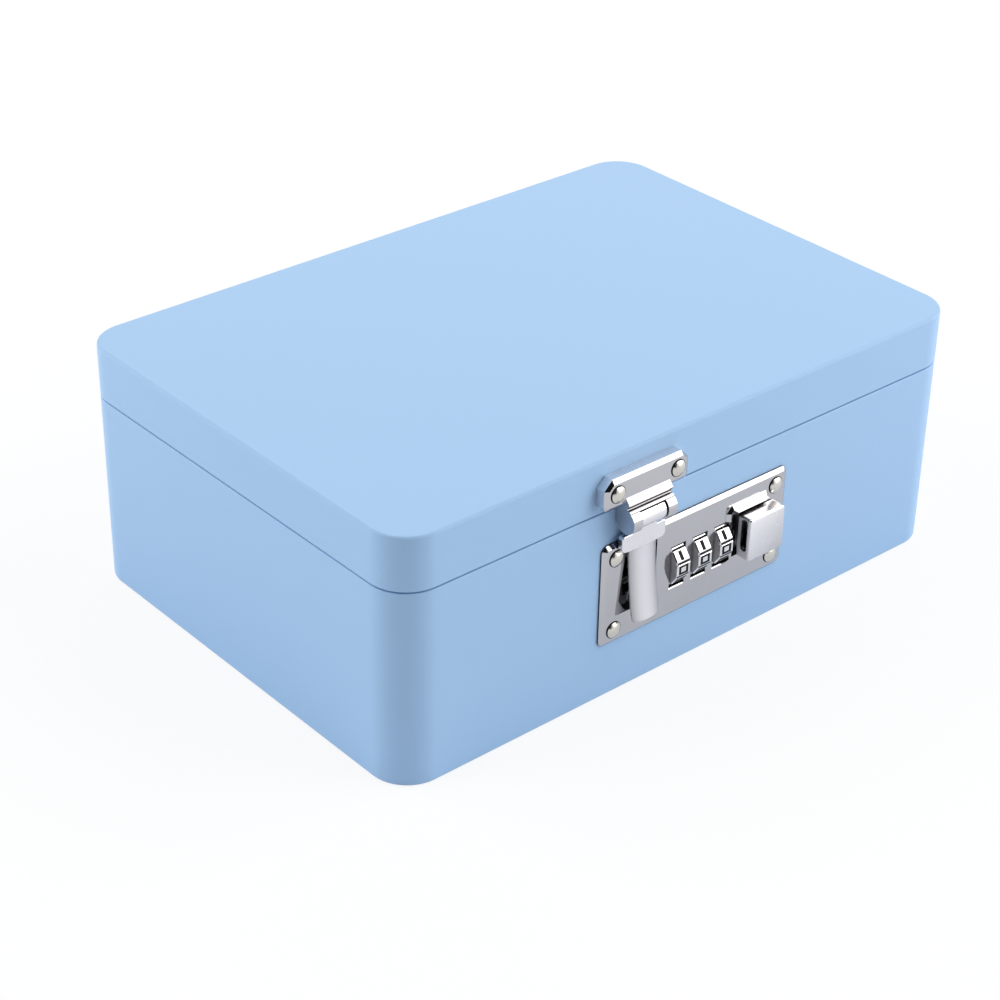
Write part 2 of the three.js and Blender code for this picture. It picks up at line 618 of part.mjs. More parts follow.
function shaftClip() {
  const inset = CLIP_SIDE_GAP;
  const [x0, x1] = [CLIP_X + inset, CLIP_X + CLIP_WIDTH - inset];
  const bore = shaftBar(CLIP_GROOVE_RADIUS + CLIP_SIDE_GAP, x0 - OVERRUN, x1 + OVERRUN);
  const [back, front] = [SHAFT_DEPTH - CLIP_GROOVE_RADIUS, SHAFT_DEPTH + CLIP_GROOVE_RADIUS];
  const high = SHAFT_Z + CLIP_RADIUS + OVERRUN;
  const mouth = box(x0 - OVERRUN, x1 + OVERRUN, back, front, SHAFT_Z, high);
  return shaftBar(CLIP_RADIUS, x0, x1).subtract(bore).subtract(mouth);
}

// The catch on the shaft's left end, whose nose points at the hook's notch
function catchSlide() {
  const x1 = CATCH_LEFT_X + CATCH_THICK;
  const [noseLow, noseHigh] = [HOOK_LOW_Z, HOOK_LOW_Z + HOOK_HEIGHT];
  const noseBack = CATCH_FRONT - NOSE_THICK;
  const outline = polygon([
    [CATCH_FRONT, noseLow], [CATCH_FRONT, SHAFT_Z + CATCH_MARGIN], [CATCH_BACK, SHAFT_Z + CATCH_MARGIN],
    [CATCH_BACK, SHAFT_Z - CATCH_MARGIN], [noseBack, noseHigh], [noseBack, noseLow],
  ]);
  const nose = box(CATCH_LEFT_X, NOSE_TIP_X, noseBack, CATCH_FRONT, noseLow, noseHigh);
  const bore = shaftBar(SHAFT_RADIUS + HOLE_GAP, CATCH_LEFT_X - OVERRUN, x1 + OVERRUN);
  return across(outline, CATCH_LEFT_X, x1).add(nose).subtract(bore);
}

// A coil round a line along x, as one unbroken wire
class Helix extends THREE.Curve {
  constructor(radius, x0, x1, turns, depth, z) {
    super();
    Object.assign(this, { radius, x0, x1, turns, depth, z });
  }

  getPoint(t, target = new THREE.Vector3()) {
    const angle = t * this.turns * 2 * Math.PI;
    const x = this.x0 + (this.x1 - this.x0) * t;
    const y = -FRONT - this.depth - this.radius * Math.cos(angle);
    return target.set(x, y, BODY_HEIGHT + this.z + this.radius * Math.sin(angle));
  }
}

function coil(radius, wire, x0, x1, turns, depth, z) {
  const section = new THREE.Shape();
  section.absarc(0, 0, wire / 2, 0, 2 * Math.PI);
  const half = wire / 2;
  const path = new Helix(radius, x0 + half, x1 - half, turns, depth, z);
  const steps = turns * COIL_STEPS;
  const settings = { steps, extrudePath: path, curveSegments: WIRE_SIDES / 2 };
  return solid(new THREE.ExtrudeGeometry(section, settings));
}

// Release button: a hollow square cap with a stem that holds the shaft
function buttonCap() {
  const [x1, z1] = [BUTTON_LEFT_X + BUTTON_WIDTH, BUTTON_LOW_Z + BUTTON_HEIGHT];
  const frame = evenFrame(BUTTON_LEFT_X, x1, BUTTON_LOW_Z, z1, BUTTON_CORNER);
  const ceiling = BUTTON_DEPTH - BUTTON_WALL;
  const skin = loft(frame, [
    [BUTTON_WALL, ceiling],
    [BUTTON_WALL, BUTTON_BACK],
    [0, BUTTON_BACK],
    ...quarter([0, BUTTON_DEPTH - BUTTON_EDGE], [BUTTON_EDGE, BUTTON_DEPTH], false),
  ]);
  let cap = solid(skin.applyMatrix4(FRONT_VIEW));
  const pocketLow = z1 - BUTTON_EDGE - BUTTON_HEIGHT * BUTTON_POCKET_SHARE;
  const pocket = box(BUTTON_LEFT_X - OVERRUN, BUTTON_LEFT_X + BUTTON_POCKET_DEPTH,
    POCKET_BACK, POCKET_BACK + POCKET_WIDTH, pocketLow, z1 - BUTTON_EDGE);
  cap = cap.subtract(pocket);
  const [low, high] = [SHAFT_Z - STEM_HEIGHT / 2, SHAFT_Z + STEM_HEIGHT / 2];
  const stemEnd = STEM_X + STEM_WIDTH;
  const stemBack = SHAFT_DEPTH - STEM_HEIGHT / 2;
  cap = cap.add(box(STEM_X, stemEnd, stemBack, ceiling + BUTTON_WALL / 2, low, high));
  return cap.subtract(shaftBar(SHAFT_END_RADIUS + HOLE_GAP, STEM_X - OVERRUN, stemEnd + OVERRUN));
}

// Case behind the front wall: a flange, four walls, two bearing walls and two screw bosses
function lockCase() {
  const flangeLow = PLATE_RIVET_LOW_Z - FLANGE_MARGIN;
  const flangeHigh = PLATE_RIVET_HIGH_Z + FLANGE_MARGIN;
  const [flangeLeft, flangeRight] = [PLATE_RIVET_LEFT_X - FLANGE_MARGIN, PLATE_RIVET_RIGHT_X + FLANGE_MARGIN];
  const flange = roundedOutline(flangeLeft, flangeRight, flangeLow, flangeHigh, FLANGE_CORNER);
  let tray = outward(flange, FLANGE_BACK, WALL_BACK);
  const outer = roundedOutline(CASE_LEFT_X, CASE_RIGHT_X, CASE_LOW_Z, CASE_HIGH_Z, CASE_CORNER);
  tray = tray.add(outward(outer, COVER_FRONT, WALL_BACK));
  const [left, right] = [CASE_LEFT_X + CASE_WALL, CASE_RIGHT_X - CASE_WALL];
  const inner = roundedOutline(left, right, FLOOR_Z, CASE_HIGH_Z - CASE_WALL, CASE_CORNER - CASE_WALL);
  tray = tray.subtract(outward(inner, COVER_FRONT - OVERRUN, OVERRUN));
  const [low, high] = [CASE_LOW_Z + CASE_WALL / 2, CASE_HIGH_Z - CASE_WALL / 2];
  for (const x of [BEARING_LEFT_X, BEARING_RIGHT_X]) {
    tray = tray.add(box(x, x + BEARING_WALL, COVER_FRONT, WALL_BACK, low, high));
  }
  for (const [x, z] of screwPlaces()) {
    tray = tray.add(barY(SCREW_BOSS_RADIUS, x, z, COVER_FRONT, COVER_FRONT + SCREW_BOSS_HEIGHT));
    const holeEnd = COVER_FRONT + SCREW_BOSS_HEIGHT - SCREW_FLOOR;
    tray = tray.subtract(barY(SCREW_SHANK_RADIUS + HOLE_GAP, x, z, COVER_FRONT - OVERRUN, holeEnd));
  }
  const bearingsEnd = BEARING_RIGHT_X + BEARING_WALL + OVERRUN;
  tray = tray.subtract(shaftBar(SHAFT_RADIUS + RUN_GAP, BEARING_LEFT_X - OVERRUN, bearingsEnd));
  for (const [x, z] of plateRivetPlaces()) {
    tray = tray.subtract(barY(RIVET_SHANK_RADIUS + HOLE_GAP, x, z, FLANGE_BACK - OVERRUN, OVERRUN));
  }
  return tray;
}

function screwPlaces() {
  return [
    [CASE_LEFT_X + SCREW_BOSS_RADIUS, CASE_HIGH_Z - SCREW_BOSS_RADIUS],
    [CASE_RIGHT_X - SCREW_BOSS_RADIUS, CASE_LOW_Z + SCREW_BOSS_RADIUS],
  ];
}

function lockCover() {
  const sheet = roundedOutline(CASE_LEFT_X, CASE_RIGHT_X, CASE_LOW_Z, CASE_HIGH_Z, CASE_CORNER);
  let cover = outward(sheet, COVER_BACK, COVER_FRONT);
  for (const [x, z] of screwPlaces()) {
    const hole = barY(SCREW_SHANK_RADIUS + HOLE_GAP, x, z, COVER_BACK - OVERRUN, COVER_FRONT + OVERRUN);
    cover = cover.subtract(hole);
  }
  return cover;
}

function coverScrew([x, z]) {
  const length = COVER_THICK + SCREW_BOSS_HEIGHT - SCREW_FLOOR - SEAT_GAP;
  const turned = lathe([
    [0, -length], [SCREW_SHANK_RADIUS, -length], [SCREW_SHANK_RADIUS, 0], [SCREW_HEAD_RADIUS, 0],
    [SCREW_HEAD_RADIUS, SCREW_HEAD_HEIGHT / 2],
    [SCREW_HEAD_RADIUS * SCREW_CROWN_SHARE, SCREW_HEAD_HEIGHT], [0, SCREW_HEAD_HEIGHT],
  ]);
  const head = placed(turned, x, COVER_BACK, z);
  const reach = SCREW_HEAD_RADIUS + OVERRUN;
  const half = SCREW_SLOT / 2;
  const top = COVER_BACK - SCREW_HEAD_HEIGHT;
  const slotFloor = top + SCREW_HEAD_HEIGHT / 2;
  return head.subtract(box(x - reach, x + reach, top - OVERRUN, slotFloor, z - half, z + half));
}

// Flat spring on the floor of the case, with one arched finger under each wheel
function detentSpring() {
  const low = FLOOR_Z;
  const [back, front] = [DETENT_BACK, DETENT_FRONT];
  const middle = (back + front) / 2;
  let comb = box(WHEELS_LEFT, WHEELS_RIGHT, back - DETENT_STRIP, back, low, low + DETENT_THICK);
  const arch = new THREE.Shape();
  arch.moveTo(back - DETENT_STRIP / 2, low);
  arch.lineTo(back, low);
  arch.quadraticCurveTo(middle, low + 2 * DETENT_RISE, front, low);
  arch.lineTo(front, low + DETENT_THICK);
  arch.quadraticCurveTo(middle, low + 2 * DETENT_RISE + DETENT_THICK, back, low + DETENT_THICK);
  arch.lineTo(back - DETENT_STRIP / 2, low + DETENT_THICK);
  for (let i = 0; i < WHEEL_COUNT; i += 1) {
    comb = comb.add(across(arch, wheelX(i) - DETENT_FINGER / 2, wheelX(i) + DETENT_FINGER / 2));
  }
  return comb;
}

// A round bar on the line of the hasp's pin
function barrelBar(radius, x0, x1) {
  return barX(radius, x0, x1, BARREL_DEPTH, BARREL_Z);
}

// Hasp plate: a bevelled block with cut corners, two ears and the cap over the knuckle
function haspPlate() {
  const block = {
    x0: HASP_LEFT_X, x1: HASP_RIGHT_X, y0: HASP_LOW_Z, y1: HASP_HIGH_Z,
    radii: [HASP_LOW_CORNER, HASP_LOW_CORNER, HASP_CORNER_CUT, HASP_CORNER_CUT],
    steps: [LOW_CORNER_STEPS, LOW_CORNER_STEPS, CUT_CORNER_STEPS, CUT_CORNER_STEPS],
  };
  const skin = loft(block, [[0, 0], [0, HASP_DEPTH - HASP_BEVEL_DEPTH], [HASP_BEVEL, HASP_DEPTH]]);
  let plate = solid(skin.applyMatrix4(FRONT_VIEW));
  const right = BARREL_LEFT_X + BARREL_WIDTH;
  plate = plate.add(across(capOutline(), BARREL_LEFT_X, right));
  for (const x of [BARREL_LEFT_X, right - EAR_WIDTH]) {
    plate = plate.add(across(earOutline(), x, x + EAR_WIDTH));
  }
  plate = plate.subtract(barrelBar(PIN_RADIUS + PIN_BORE_GAP, BARREL_LEFT_X + EAR_FLOOR, right - EAR_FLOOR));
  for (const x of haspRivetXs()) {
    const hole = barY(RIVET_SHANK_RADIUS + HOLE_GAP, x, HASP_RIVET_Z, -OVERRUN, HASP_DEPTH + OVERRUN);
    plate = plate.subtract(hole);
  }
  return plate;
}

// The bent-out lip under the block and the curl over the knuckle, seen from the side
function capOutline() {
  const inner = KNUCKLE_RADIUS + KNUCKLE_GAP;
  const outer = inner + CAP_THICK;
  const end = (CAP_END_DEGREES * Math.PI) / 180;
  const webHigh = HASP_LOW_Z + HASP_BEVEL + LIP_RISE;
  const shape = new THREE.Shape();
  shape.moveTo(HASP_DEPTH - HASP_BEVEL_DEPTH, webHigh);
  shape.lineTo(HASP_DEPTH, webHigh);
  shape.lineTo(LIP_DEPTH, LIP_Z);
  const under = LIP_DEPTH - LIP_THICK / 2;
  shape.lineTo(under, LIP_Z - LIP_THICK);
  shape.lineTo(under - LIP_NOTCH, LIP_Z - LIP_THICK - LIP_NOTCH / 2);
  shape.lineTo(BARREL_DEPTH + LIP_THICK, BARREL_Z + outer);
  shape.absarc(BARREL_DEPTH, BARREL_Z, outer, Math.acos(LIP_THICK / outer), end, true);
  shape.absarc(BARREL_DEPTH, BARREL_Z, inner, end, Math.PI - end, false);
  shape.lineTo(EAR_BACK, HASP_LOW_Z + HASP_BEVEL);
  return shape;
}

function earOutline() {
  const shape = new THREE.Shape();
  shape.moveTo(EAR_BACK, HASP_LOW_Z + HASP_BEVEL);
  shape.lineTo(EAR_BACK, BARREL_Z);
  shape.absarc(BARREL_DEPTH, BARREL_Z, BARREL_DEPTH - EAR_BACK, Math.PI, 2.5 * Math.PI, false);
  shape.lineTo(BARREL_DEPTH, HASP_LOW_Z + HASP_BEVEL);
  return shape;
}

// Hasp arm: knuckle, shoulder, a tongue that curves away from the plate, and the hook behind it
function haspArm() {
  const left = BARREL_LEFT_X;
  const right = left + BARREL_WIDTH;
  const back = PLATE_THICK + ARM_STAND_OFF;
  const [k0, k1] = [left + EAR_WIDTH + RUN_GAP, right - EAR_WIDTH - RUN_GAP];
  let arm = barrelBar(KNUCKLE_RADIUS, k0, k1);
  arm = arm.add(box(k0, k1, back, SHOULDER_DEPTH, SHOULDER_HIGH_Z - RUN_GAP, BARREL_Z - KNUCKLE_RADIUS / 2));
  arm = arm.add(outward(shoulderOutline(left, right), back, SHOULDER_DEPTH));
  arm = arm.add(tongue());
  const half = HOOK_WIDTH / 2;
  const [low, high] = [HOOK_LOW_Z, HOOK_LOW_Z + HOOK_HEIGHT];
  arm = arm.add(box(HASP_X - half, HASP_X + half, HOOK_REACH, TONGUE_LOW_DEPTH - TONGUE_SHEET, low, high));
  const headFront = HOOK_REACH + HOOK_HEAD;
  const [notchLeft, notchRight] = [HASP_X - half - OVERRUN, HASP_X - half + HOOK_NOTCH];
  const notch = box(notchLeft, notchRight, headFront, headFront + HOOK_NOTCH, low - OVERRUN, high + OVERRUN);
  arm = arm.subtract(notch);
  const [r0, r1] = [k0 + SPRING_ROOM_WALL, k1 - SPRING_ROOM_WALL];
  const [roomLow, roomHigh] = [BARREL_Z - SPRING_ROOM_RADIUS, BARREL_Z + SPRING_ROOM_RADIUS];
  arm = arm.subtract(box(r0, r1, BARREL_DEPTH - KNUCKLE_RADIUS - OVERRUN, BARREL_DEPTH, roomLow, roomHigh));
  arm = arm.subtract(barrelBar(SPRING_ROOM_RADIUS, r0, r1));
  return arm.subtract(barrelBar(PIN_RADIUS + PIN_BORE_GAP, k0 - OVERRUN, k1 + OVERRUN));
}

function shoulderOutline(left, right) {
  const middle = (left + right) / 2;
  const sideLow = SHOULDER_LOW_Z + SHOULDER_BOW;
  const bowStart = SHOULDER_LOW_Z + SHOULDER_BOW / 2;
  const bowLow = SHOULDER_LOW_Z - SHOULDER_BOW / 2;
  const shape = new THREE.Shape();
  shape.moveTo(left, SHOULDER_HIGH_Z - SHOULDER_CORNER);
  shape.lineTo(left, sideLow + SHOULDER_CORNER);
  shape.quadraticCurveTo(left, sideLow, left + SHOULDER_CORNER, bowStart);
  shape.quadraticCurveTo(middle, bowLow, right - SHOULDER_CORNER, bowStart);
  shape.quadraticCurveTo(right, sideLow, right, sideLow + SHOULDER_CORNER);
  shape.lineTo(right, SHOULDER_HIGH_Z - SHOULDER_CORNER);
  shape.quadraticCurveTo(right, SHOULDER_HIGH_Z, right - SHOULDER_CORNER, SHOULDER_HIGH_Z);
  shape.lineTo(left + SHOULDER_CORNER, SHOULDER_HIGH_Z);
  shape.quadraticCurveTo(left, SHOULDER_HIGH_Z, left, SHOULDER_HIGH_Z - SHOULDER_CORNER);
  return shape;
}

// The tongue seen from the front, cut by its curved section seen from the side
function tongue() {
  const middle = HASP_X + TONGUE_SHIFT;
  const [x0, x1] = [middle - TONGUE_WIDTH / 2, middle + TONGUE_WIDTH / 2];
  const front = roundedOutline(x0, x1, TONGUE_LOW_Z, SHOULDER_HIGH_Z - SHOULDER_CORNER, TONGUE_CORNER);
  const face = outward(front, 0, TONGUE_LOW_DEPTH + OVERRUN);
  const high = SHOULDER_HIGH_Z - SHOULDER_CORNER;
  const bendZ = TONGUE_LOW_Z + (high - TONGUE_LOW_Z) / 2;
  const side = new THREE.Shape();
  side.moveTo(TONGUE_LOW_DEPTH, TONGUE_LOW_Z);
  side.quadraticCurveTo(TONGUE_TOP_DEPTH, bendZ, TONGUE_TOP_DEPTH, high);
  side.lineTo(TONGUE_TOP_DEPTH - TONGUE_SHEET, high);
  const inner = TONGUE_LOW_DEPTH - TONGUE_SHEET;
  side.quadraticCurveTo(TONGUE_TOP_DEPTH - TONGUE_SHEET, bendZ, inner, TONGUE_LOW_Z);
  return across(side, x0, x1).intersect(face);
}

function haspPin() {
  const [x0, x1] = [BARREL_LEFT_X + EAR_FLOOR, BARREL_LEFT_X + BARREL_WIDTH - EAR_FLOOR];
  return barrelBar(PIN_RADIUS, x0, x1);
}

function haspBacking() {
  const half = HASP_RIVET_SPACING / 2 + RIVET_TAIL_RADIUS + BACKING_MARGIN;
  const tall = RIVET_TAIL_RADIUS + BACKING_MARGIN;
  const [low, high] = [HASP_RIVET_Z - tall, HASP_RIVET_Z + tall];
  const strip = roundedOutline(HASP_X - half, HASP_X + half, low, high, BACKING_MARGIN);
  const back = WALL_BACK - BACKING_THICK;
  let backing = outward(strip, back, WALL_BACK);
  for (const x of haspRivetXs()) {
    backing = backing.subtract(barY(RIVET_SHANK_RADIUS + HOLE_GAP, x, HASP_RIVET_Z, back - OVERRUN, 0));
  }
  return backing;
}

// Rear hinges, on the back wall: a leaf each on the body and the lid, with their knuckles on one pin
const rearDepth = (out) => -BOX_DEPTH - out;

function rearHole(radius, x, z) {
  return barY(radius, x, z, rearDepth(HINGE_LEAF + OVERRUN), rearDepth(-SHEET - OVERRUN));
}

function hingeRivetXs() {
  const half = HINGE_RIVET_SPACING / 2;
  return [-HINGE_X - half, -HINGE_X + half, HINGE_X - half, HINGE_X + half];
}

// A round bar on the line of the hinge pins
function hingeBar(radius, x0, x1) {
  return barX(radius, x0, x1, rearDepth(HINGE_OUT), HINGE_Z);
}

function hingeLeaf(x, up) {
  const half = HINGE_WIDTH / 2;
  const [near, far] = [LEAF_START, LEAF_START + HINGE_LEAF_HEIGHT];
  const [z0, z1] = up > 0 ? [HINGE_Z + near, HINGE_Z + far] : [HINGE_Z - far, HINGE_Z - near];
  const outline = roundedOutline(x - half, x + half, z0, z1, LEAF_CORNER);
  let leaf = outward(outline, rearDepth(HINGE_LEAF), rearDepth(0));
  const share = HINGE_WIDTH / HINGE_KNUCKLES;
  for (let k = 0; k < HINGE_KNUCKLES; k += 1) {
    if ((k % 2 === 0) !== (up > 0)) continue;
    const [a, b] = [x - half + k * share + RUN_GAP / 2, x - half + (k + 1) * share - RUN_GAP / 2];
    const foot = HINGE_Z + up * (near + LEAF_CORNER);
    const [t0, t1] = [Math.min(HINGE_Z, foot), Math.max(HINGE_Z, foot)];
    leaf = leaf.add(box(a, b, rearDepth(HINGE_LEAF), rearDepth(0), t0, t1));
    leaf = leaf.add(hingeBar(HINGE_RADIUS, a, b));
  }
  const reach = half + OVERRUN;
  leaf = leaf.subtract(hingeBar(HINGE_PIN_RADIUS + PIN_BORE_GAP, x - reach, x + reach));
  for (const hole of hingeRivetXs()) {
    leaf = leaf.subtract(rearHole(HINGE_SHANK_RADIUS + HOLE_GAP, hole, up > 0 ? LID_RIVET_Z : BODY_RIVET_Z));
  }
  return leaf;
}

function hingePin(x) {
  return hingeBar(HINGE_PIN_RADIUS, x - HINGE_WIDTH / 2, x + HINGE_WIDTH / 2);
}

function hingeRivet(x, z) {
  const grip = HINGE_LEAF + SHEET;
  const turned = domeRivet(
    HINGE_HEAD_RADIUS, HINGE_HEAD_HEIGHT, HINGE_SHANK_RADIUS, grip, HINGE_TAIL_RADIUS, HINGE_TAIL_HEIGHT);
  return placed(turned, x, rearDepth(HINGE_LEAF), z);
}

// The whole box
const lockBox = new THREE.Group();
const put = (name, body, material) => lockBox.add(piece(name, body, material));

put("body_tub", bodyTub(), BLUE_PAINT);
put("lid_shell", lidShell(), BLUE_PAINT);
put("lock_plate", lockPlate(), CHROME);
plateRivetPlaces().forEach(([x, z], i) => {
  put(`plate_rivet_${i + 1}`, frontRivet(x, z, PLATE_THICK, PLATE_THICK - FLANGE_BACK), STEEL);
});

put("lock_case", lockCase(), STEEL);
put("lock_cover", lockCover(), STEEL);
screwPlaces().forEach((place, i) => put(`cover_screw_${i + 1}`, coverScrew(place), SPRING_STEEL));
put("dial_shaft", dialShaft(), STEEL);
put("shaft_clip", shaftClip(), SPRING_STEEL);
put("catch_slide", catchSlide(), STEEL);
put("button_cap", buttonCap(), SATIN);
put("detent_spring", detentSpring(), SPRING_STEEL);
for (let i = 0; i < WHEEL_COUNT; i += 1) {
  put(`dial_${i + 1}`, codeWheel(i), CHROME);
  put(`code_sleeve_${i + 1}`, codeSleeve(i), STEEL);
}
const sleevesEnd = wheelX(WHEEL_COUNT - 1) - WHEEL_WIDTH / 2 + WHEEL_PITCH - RUN_GAP;
put("shaft_spring", coil(SHAFT_COIL_RADIUS, SPRING_WIRE, sleevesEnd + COIL_SEAT, BEARING_RIGHT_X - COIL_SEAT,
  SHAFT_COIL_TURNS, SHAFT_DEPTH, SHAFT_Z), SPRING_STEEL);
put("slide_spring", coil(SLIDE_COIL_RADIUS, SPRING_WIRE, BEARING_RIGHT_X + BEARING_WALL + COIL_SEAT,
  STEM_X - COIL_SEAT, SLIDE_COIL_TURNS, SHAFT_DEPTH, SHAFT_Z), SPRING_STEEL);

put("hasp_plate", haspPlate(), CHROME);
haspRivetXs().forEach((x, i) => {
  const grip = HASP_DEPTH + SHEET + BACKING_THICK;
  put(`hasp_rivet_${i + 1}`, frontRivet(x, HASP_RIVET_Z, HASP_DEPTH, grip), STEEL);
});
put("hasp_backing_plate", haspBacking(), STEEL);
put("hasp_arm", haspArm(), SATIN);
put("hasp_pin", haspPin(), STEEL);
const haspCoilHalf = BARREL_WIDTH / 2 - EAR_WIDTH - RUN_GAP - SPRING_ROOM_WALL - COIL_SEAT;
put("hasp_spring", coil(HASP_COIL_RADIUS, SPRING_WIRE, HASP_X - haspCoilHalf, HASP_X + haspCoilHalf,
  HASP_COIL_TURNS, BARREL_DEPTH, BARREL_Z), SPRING_STEEL);

for (const [side, x] of [["left", -HINGE_X], ["right", HINGE_X]]) {
  put(`hinge_${side}_body_leaf`, hingeLeaf(x, -1), STEEL);
  put(`hinge_${side}_lid_leaf`, hingeLeaf(x, 1), STEEL);
  put(`hinge_${side}_pin`, hingePin(x), SPRING_STEEL);
  [-1, 1].forEach((way, i) => {
    const rivetX = x + (way * HINGE_RIVET_SPACING) / 2;
    put(`hinge_${side}_body_rivet_${i + 1}`, hingeRivet(rivetX, BODY_RIVET_Z), STEEL);
    put(`hinge_${side}_lid_rivet_${i + 1}`, hingeRivet(rivetX, LID_RIVET_Z), STEEL);
  });
}

export default lockBox;
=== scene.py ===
# %% [markdown]
# # A steel medicine box with a three-wheel hasp lock
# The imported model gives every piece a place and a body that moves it. This lesson loads that
# frame, sets up the camera, the studio and the finishes, and then builds each visible piece
# again with finer edges than an engineering model needs. Lengths on the object are written in
# millimetres and turned into metres by one factor. The studio round it is written in metres.

# %% Load the frame
import math

import bmesh
import bpy
from mathutils import Matrix, Quaternion, Vector


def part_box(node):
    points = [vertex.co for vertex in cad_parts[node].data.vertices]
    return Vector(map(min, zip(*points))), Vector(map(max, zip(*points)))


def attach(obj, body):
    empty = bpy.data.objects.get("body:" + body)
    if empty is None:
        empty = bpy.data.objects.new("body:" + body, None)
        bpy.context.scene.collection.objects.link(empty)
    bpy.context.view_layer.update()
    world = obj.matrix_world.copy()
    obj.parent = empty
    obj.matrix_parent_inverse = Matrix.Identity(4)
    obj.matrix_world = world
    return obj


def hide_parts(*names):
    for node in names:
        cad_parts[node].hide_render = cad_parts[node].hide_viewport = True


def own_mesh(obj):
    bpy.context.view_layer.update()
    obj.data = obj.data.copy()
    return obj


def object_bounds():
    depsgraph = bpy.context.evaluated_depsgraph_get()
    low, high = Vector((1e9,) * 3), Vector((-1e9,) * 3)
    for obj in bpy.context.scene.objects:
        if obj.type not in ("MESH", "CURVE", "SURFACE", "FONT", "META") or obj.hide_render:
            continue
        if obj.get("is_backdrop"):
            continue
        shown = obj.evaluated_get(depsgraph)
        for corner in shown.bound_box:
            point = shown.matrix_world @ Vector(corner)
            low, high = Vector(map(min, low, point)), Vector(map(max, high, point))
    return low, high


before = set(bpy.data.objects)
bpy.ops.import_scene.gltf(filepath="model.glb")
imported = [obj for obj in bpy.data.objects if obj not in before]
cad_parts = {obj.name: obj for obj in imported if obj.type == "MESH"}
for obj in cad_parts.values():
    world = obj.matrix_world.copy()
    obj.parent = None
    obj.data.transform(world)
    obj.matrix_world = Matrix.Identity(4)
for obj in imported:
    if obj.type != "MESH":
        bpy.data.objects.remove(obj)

MM = 0.001
cad_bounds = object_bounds()
print("whole size in mm:", [round(side / MM, 1) for side in cad_bounds[1] - cad_bounds[0]])

# %% [markdown]
# ## The camera
# The picture was taken with a longish lens from the left, in front and above. A camera is set
# by where it stands, what it looks at, a small roll about its own line of sight, and a lens.
# A Track To constraint could aim it. Here `to_track_quat` turns the line of sight into a
# rotation instead, because the roll can then be added after it.

# %% Camera
CAMERA_AT = Vector((-386.30, -434.24, 367.30)) * MM
CAMERA_AIM = Vector((-26.561, -20.972, 36.0)) * MM
CAMERA_ROLL = math.radians(1.015)
LENS, SENSOR = 87.10, 36

camera_data = bpy.data.cameras.new("camera")
camera_data.lens = LENS
camera_data.sensor_width = SENSOR
camera = bpy.data.objects.new("camera", camera_data)
camera.location = CAMERA_AT
sight = (CAMERA_AIM - CAMERA_AT).to_track_quat("-Z", "Y")
camera.rotation_euler = (sight @ Quaternion((0, 0, 1), CAMERA_ROLL)).to_euler()
bpy.context.scene.collection.objects.link(camera)
bpy.context.scene.camera = camera
bpy.context.scene.view_settings.view_transform = "Standard"
print("camera distance in mm:", round((CAMERA_AIM - CAMERA_AT).length / MM))

# %% [markdown]
# ## Shader maths as Python
# Node trees are easier to read as expressions. `Wire` holds one socket. Adding, subtracting
# and multiplying wires adds Math nodes, also with the number on the left, so `1 - mask`
# works. Every other node comes from `Shading.node`, which sets the settings first and then
# fills or links the inputs. `rgb` takes the numbers of a picture editor and turns them into
# the linear light that shaders expect.

# %% Wires
class Wire:
    def __init__(self, shading, socket):
        self.shading = shading
        self.socket = socket

    def math(self, operation, left, right):
        return self.shading.node("Math", {"operation": operation}, {0: left, 1: right})

    def __add__(self, other):
        return self.math("ADD", self, other)

    def __radd__(self, other):
        return self.math("ADD", other, self)

    def __sub__(self, other):
        return self.math("SUBTRACT", self, other)

    def __rsub__(self, other):
        return self.math("SUBTRACT", other, self)

    def __mul__(self, other):
        return self.math("MULTIPLY", self, other)

    def __rmul__(self, other):
        return self.math("MULTIPLY", other, self)


operators = [name for name in dir(Wire) if name.endswith(("add__", "sub__", "mul__"))]
print("operators on wires:", len(operators))

# %% Node trees
class Shading:
    def __init__(self, tree):
        self.tree = tree
        tree.nodes.clear()

    def node(self, kind, settings=None, inputs=None, output=0):
        made = self.tree.nodes.new("ShaderNode" + kind)
        for key, value in (settings or {}).items():
            setattr(made, key, value)
        for key, value in (inputs or {}).items():
            if isinstance(value, Wire):
                self.tree.links.new(value.socket, made.inputs[key])
            else:
                made.inputs[key].default_value = value
        return Wire(self, made.outputs[output]) if made.outputs else None

    def mix(self, amount, low, high):
        return self.node("Mix", {"data_type": "RGBA"}, {0: amount, 6: low, 7: high}, output=2)


print("a shading makes nodes and mixes colours")

# %% Materials and colours
def new_material(name):
    made = bpy.data.materials.new(name)
    made.use_nodes = True
    return made, Shading(made.node_tree)


def rgb(red, green, blue):
    def linear(value):
        share = value / 255
        return share / 12.92 if share <= 0.04045 else ((share + 0.055) / 1.055) ** 2.4
    return (linear(red), linear(green), linear(blue), 1)


print("mid grey as linear light:", round(rgb(128, 128, 128)[0], 3))

# %% [markdown]
# ## The floor and the white around it
# The product stands on white. A bright floor could come from more light, but that would also
# bleach the object. So the floor is a real surface that takes the shadow, and for camera,
# glossy and transmitted rays it is partly a plain white emitter. The world does the same: it
# is white to look at, and lights the object only dimly.

# %% Floor
WHITE = (1, 1, 1, 1)
FLOOR_SIZE = 6.0
FLOOR_GLOW = 0.85
FLOOR_MIRRORED = 0.3
FLOOR_COLOR = (0.92, 0.94, 0.98, 1)


def rectangle(name, width, height):
    w, h = width / 2, height / 2
    mesh = bpy.data.meshes.new(name)
    mesh.from_pydata([(-w, -h, 0), (w, -h, 0), (w, h, 0), (-w, h, 0)], [], [(0, 1, 2, 3)])
    made = bpy.data.objects.new(name, mesh)
    bpy.context.scene.collection.objects.link(made)
    return made


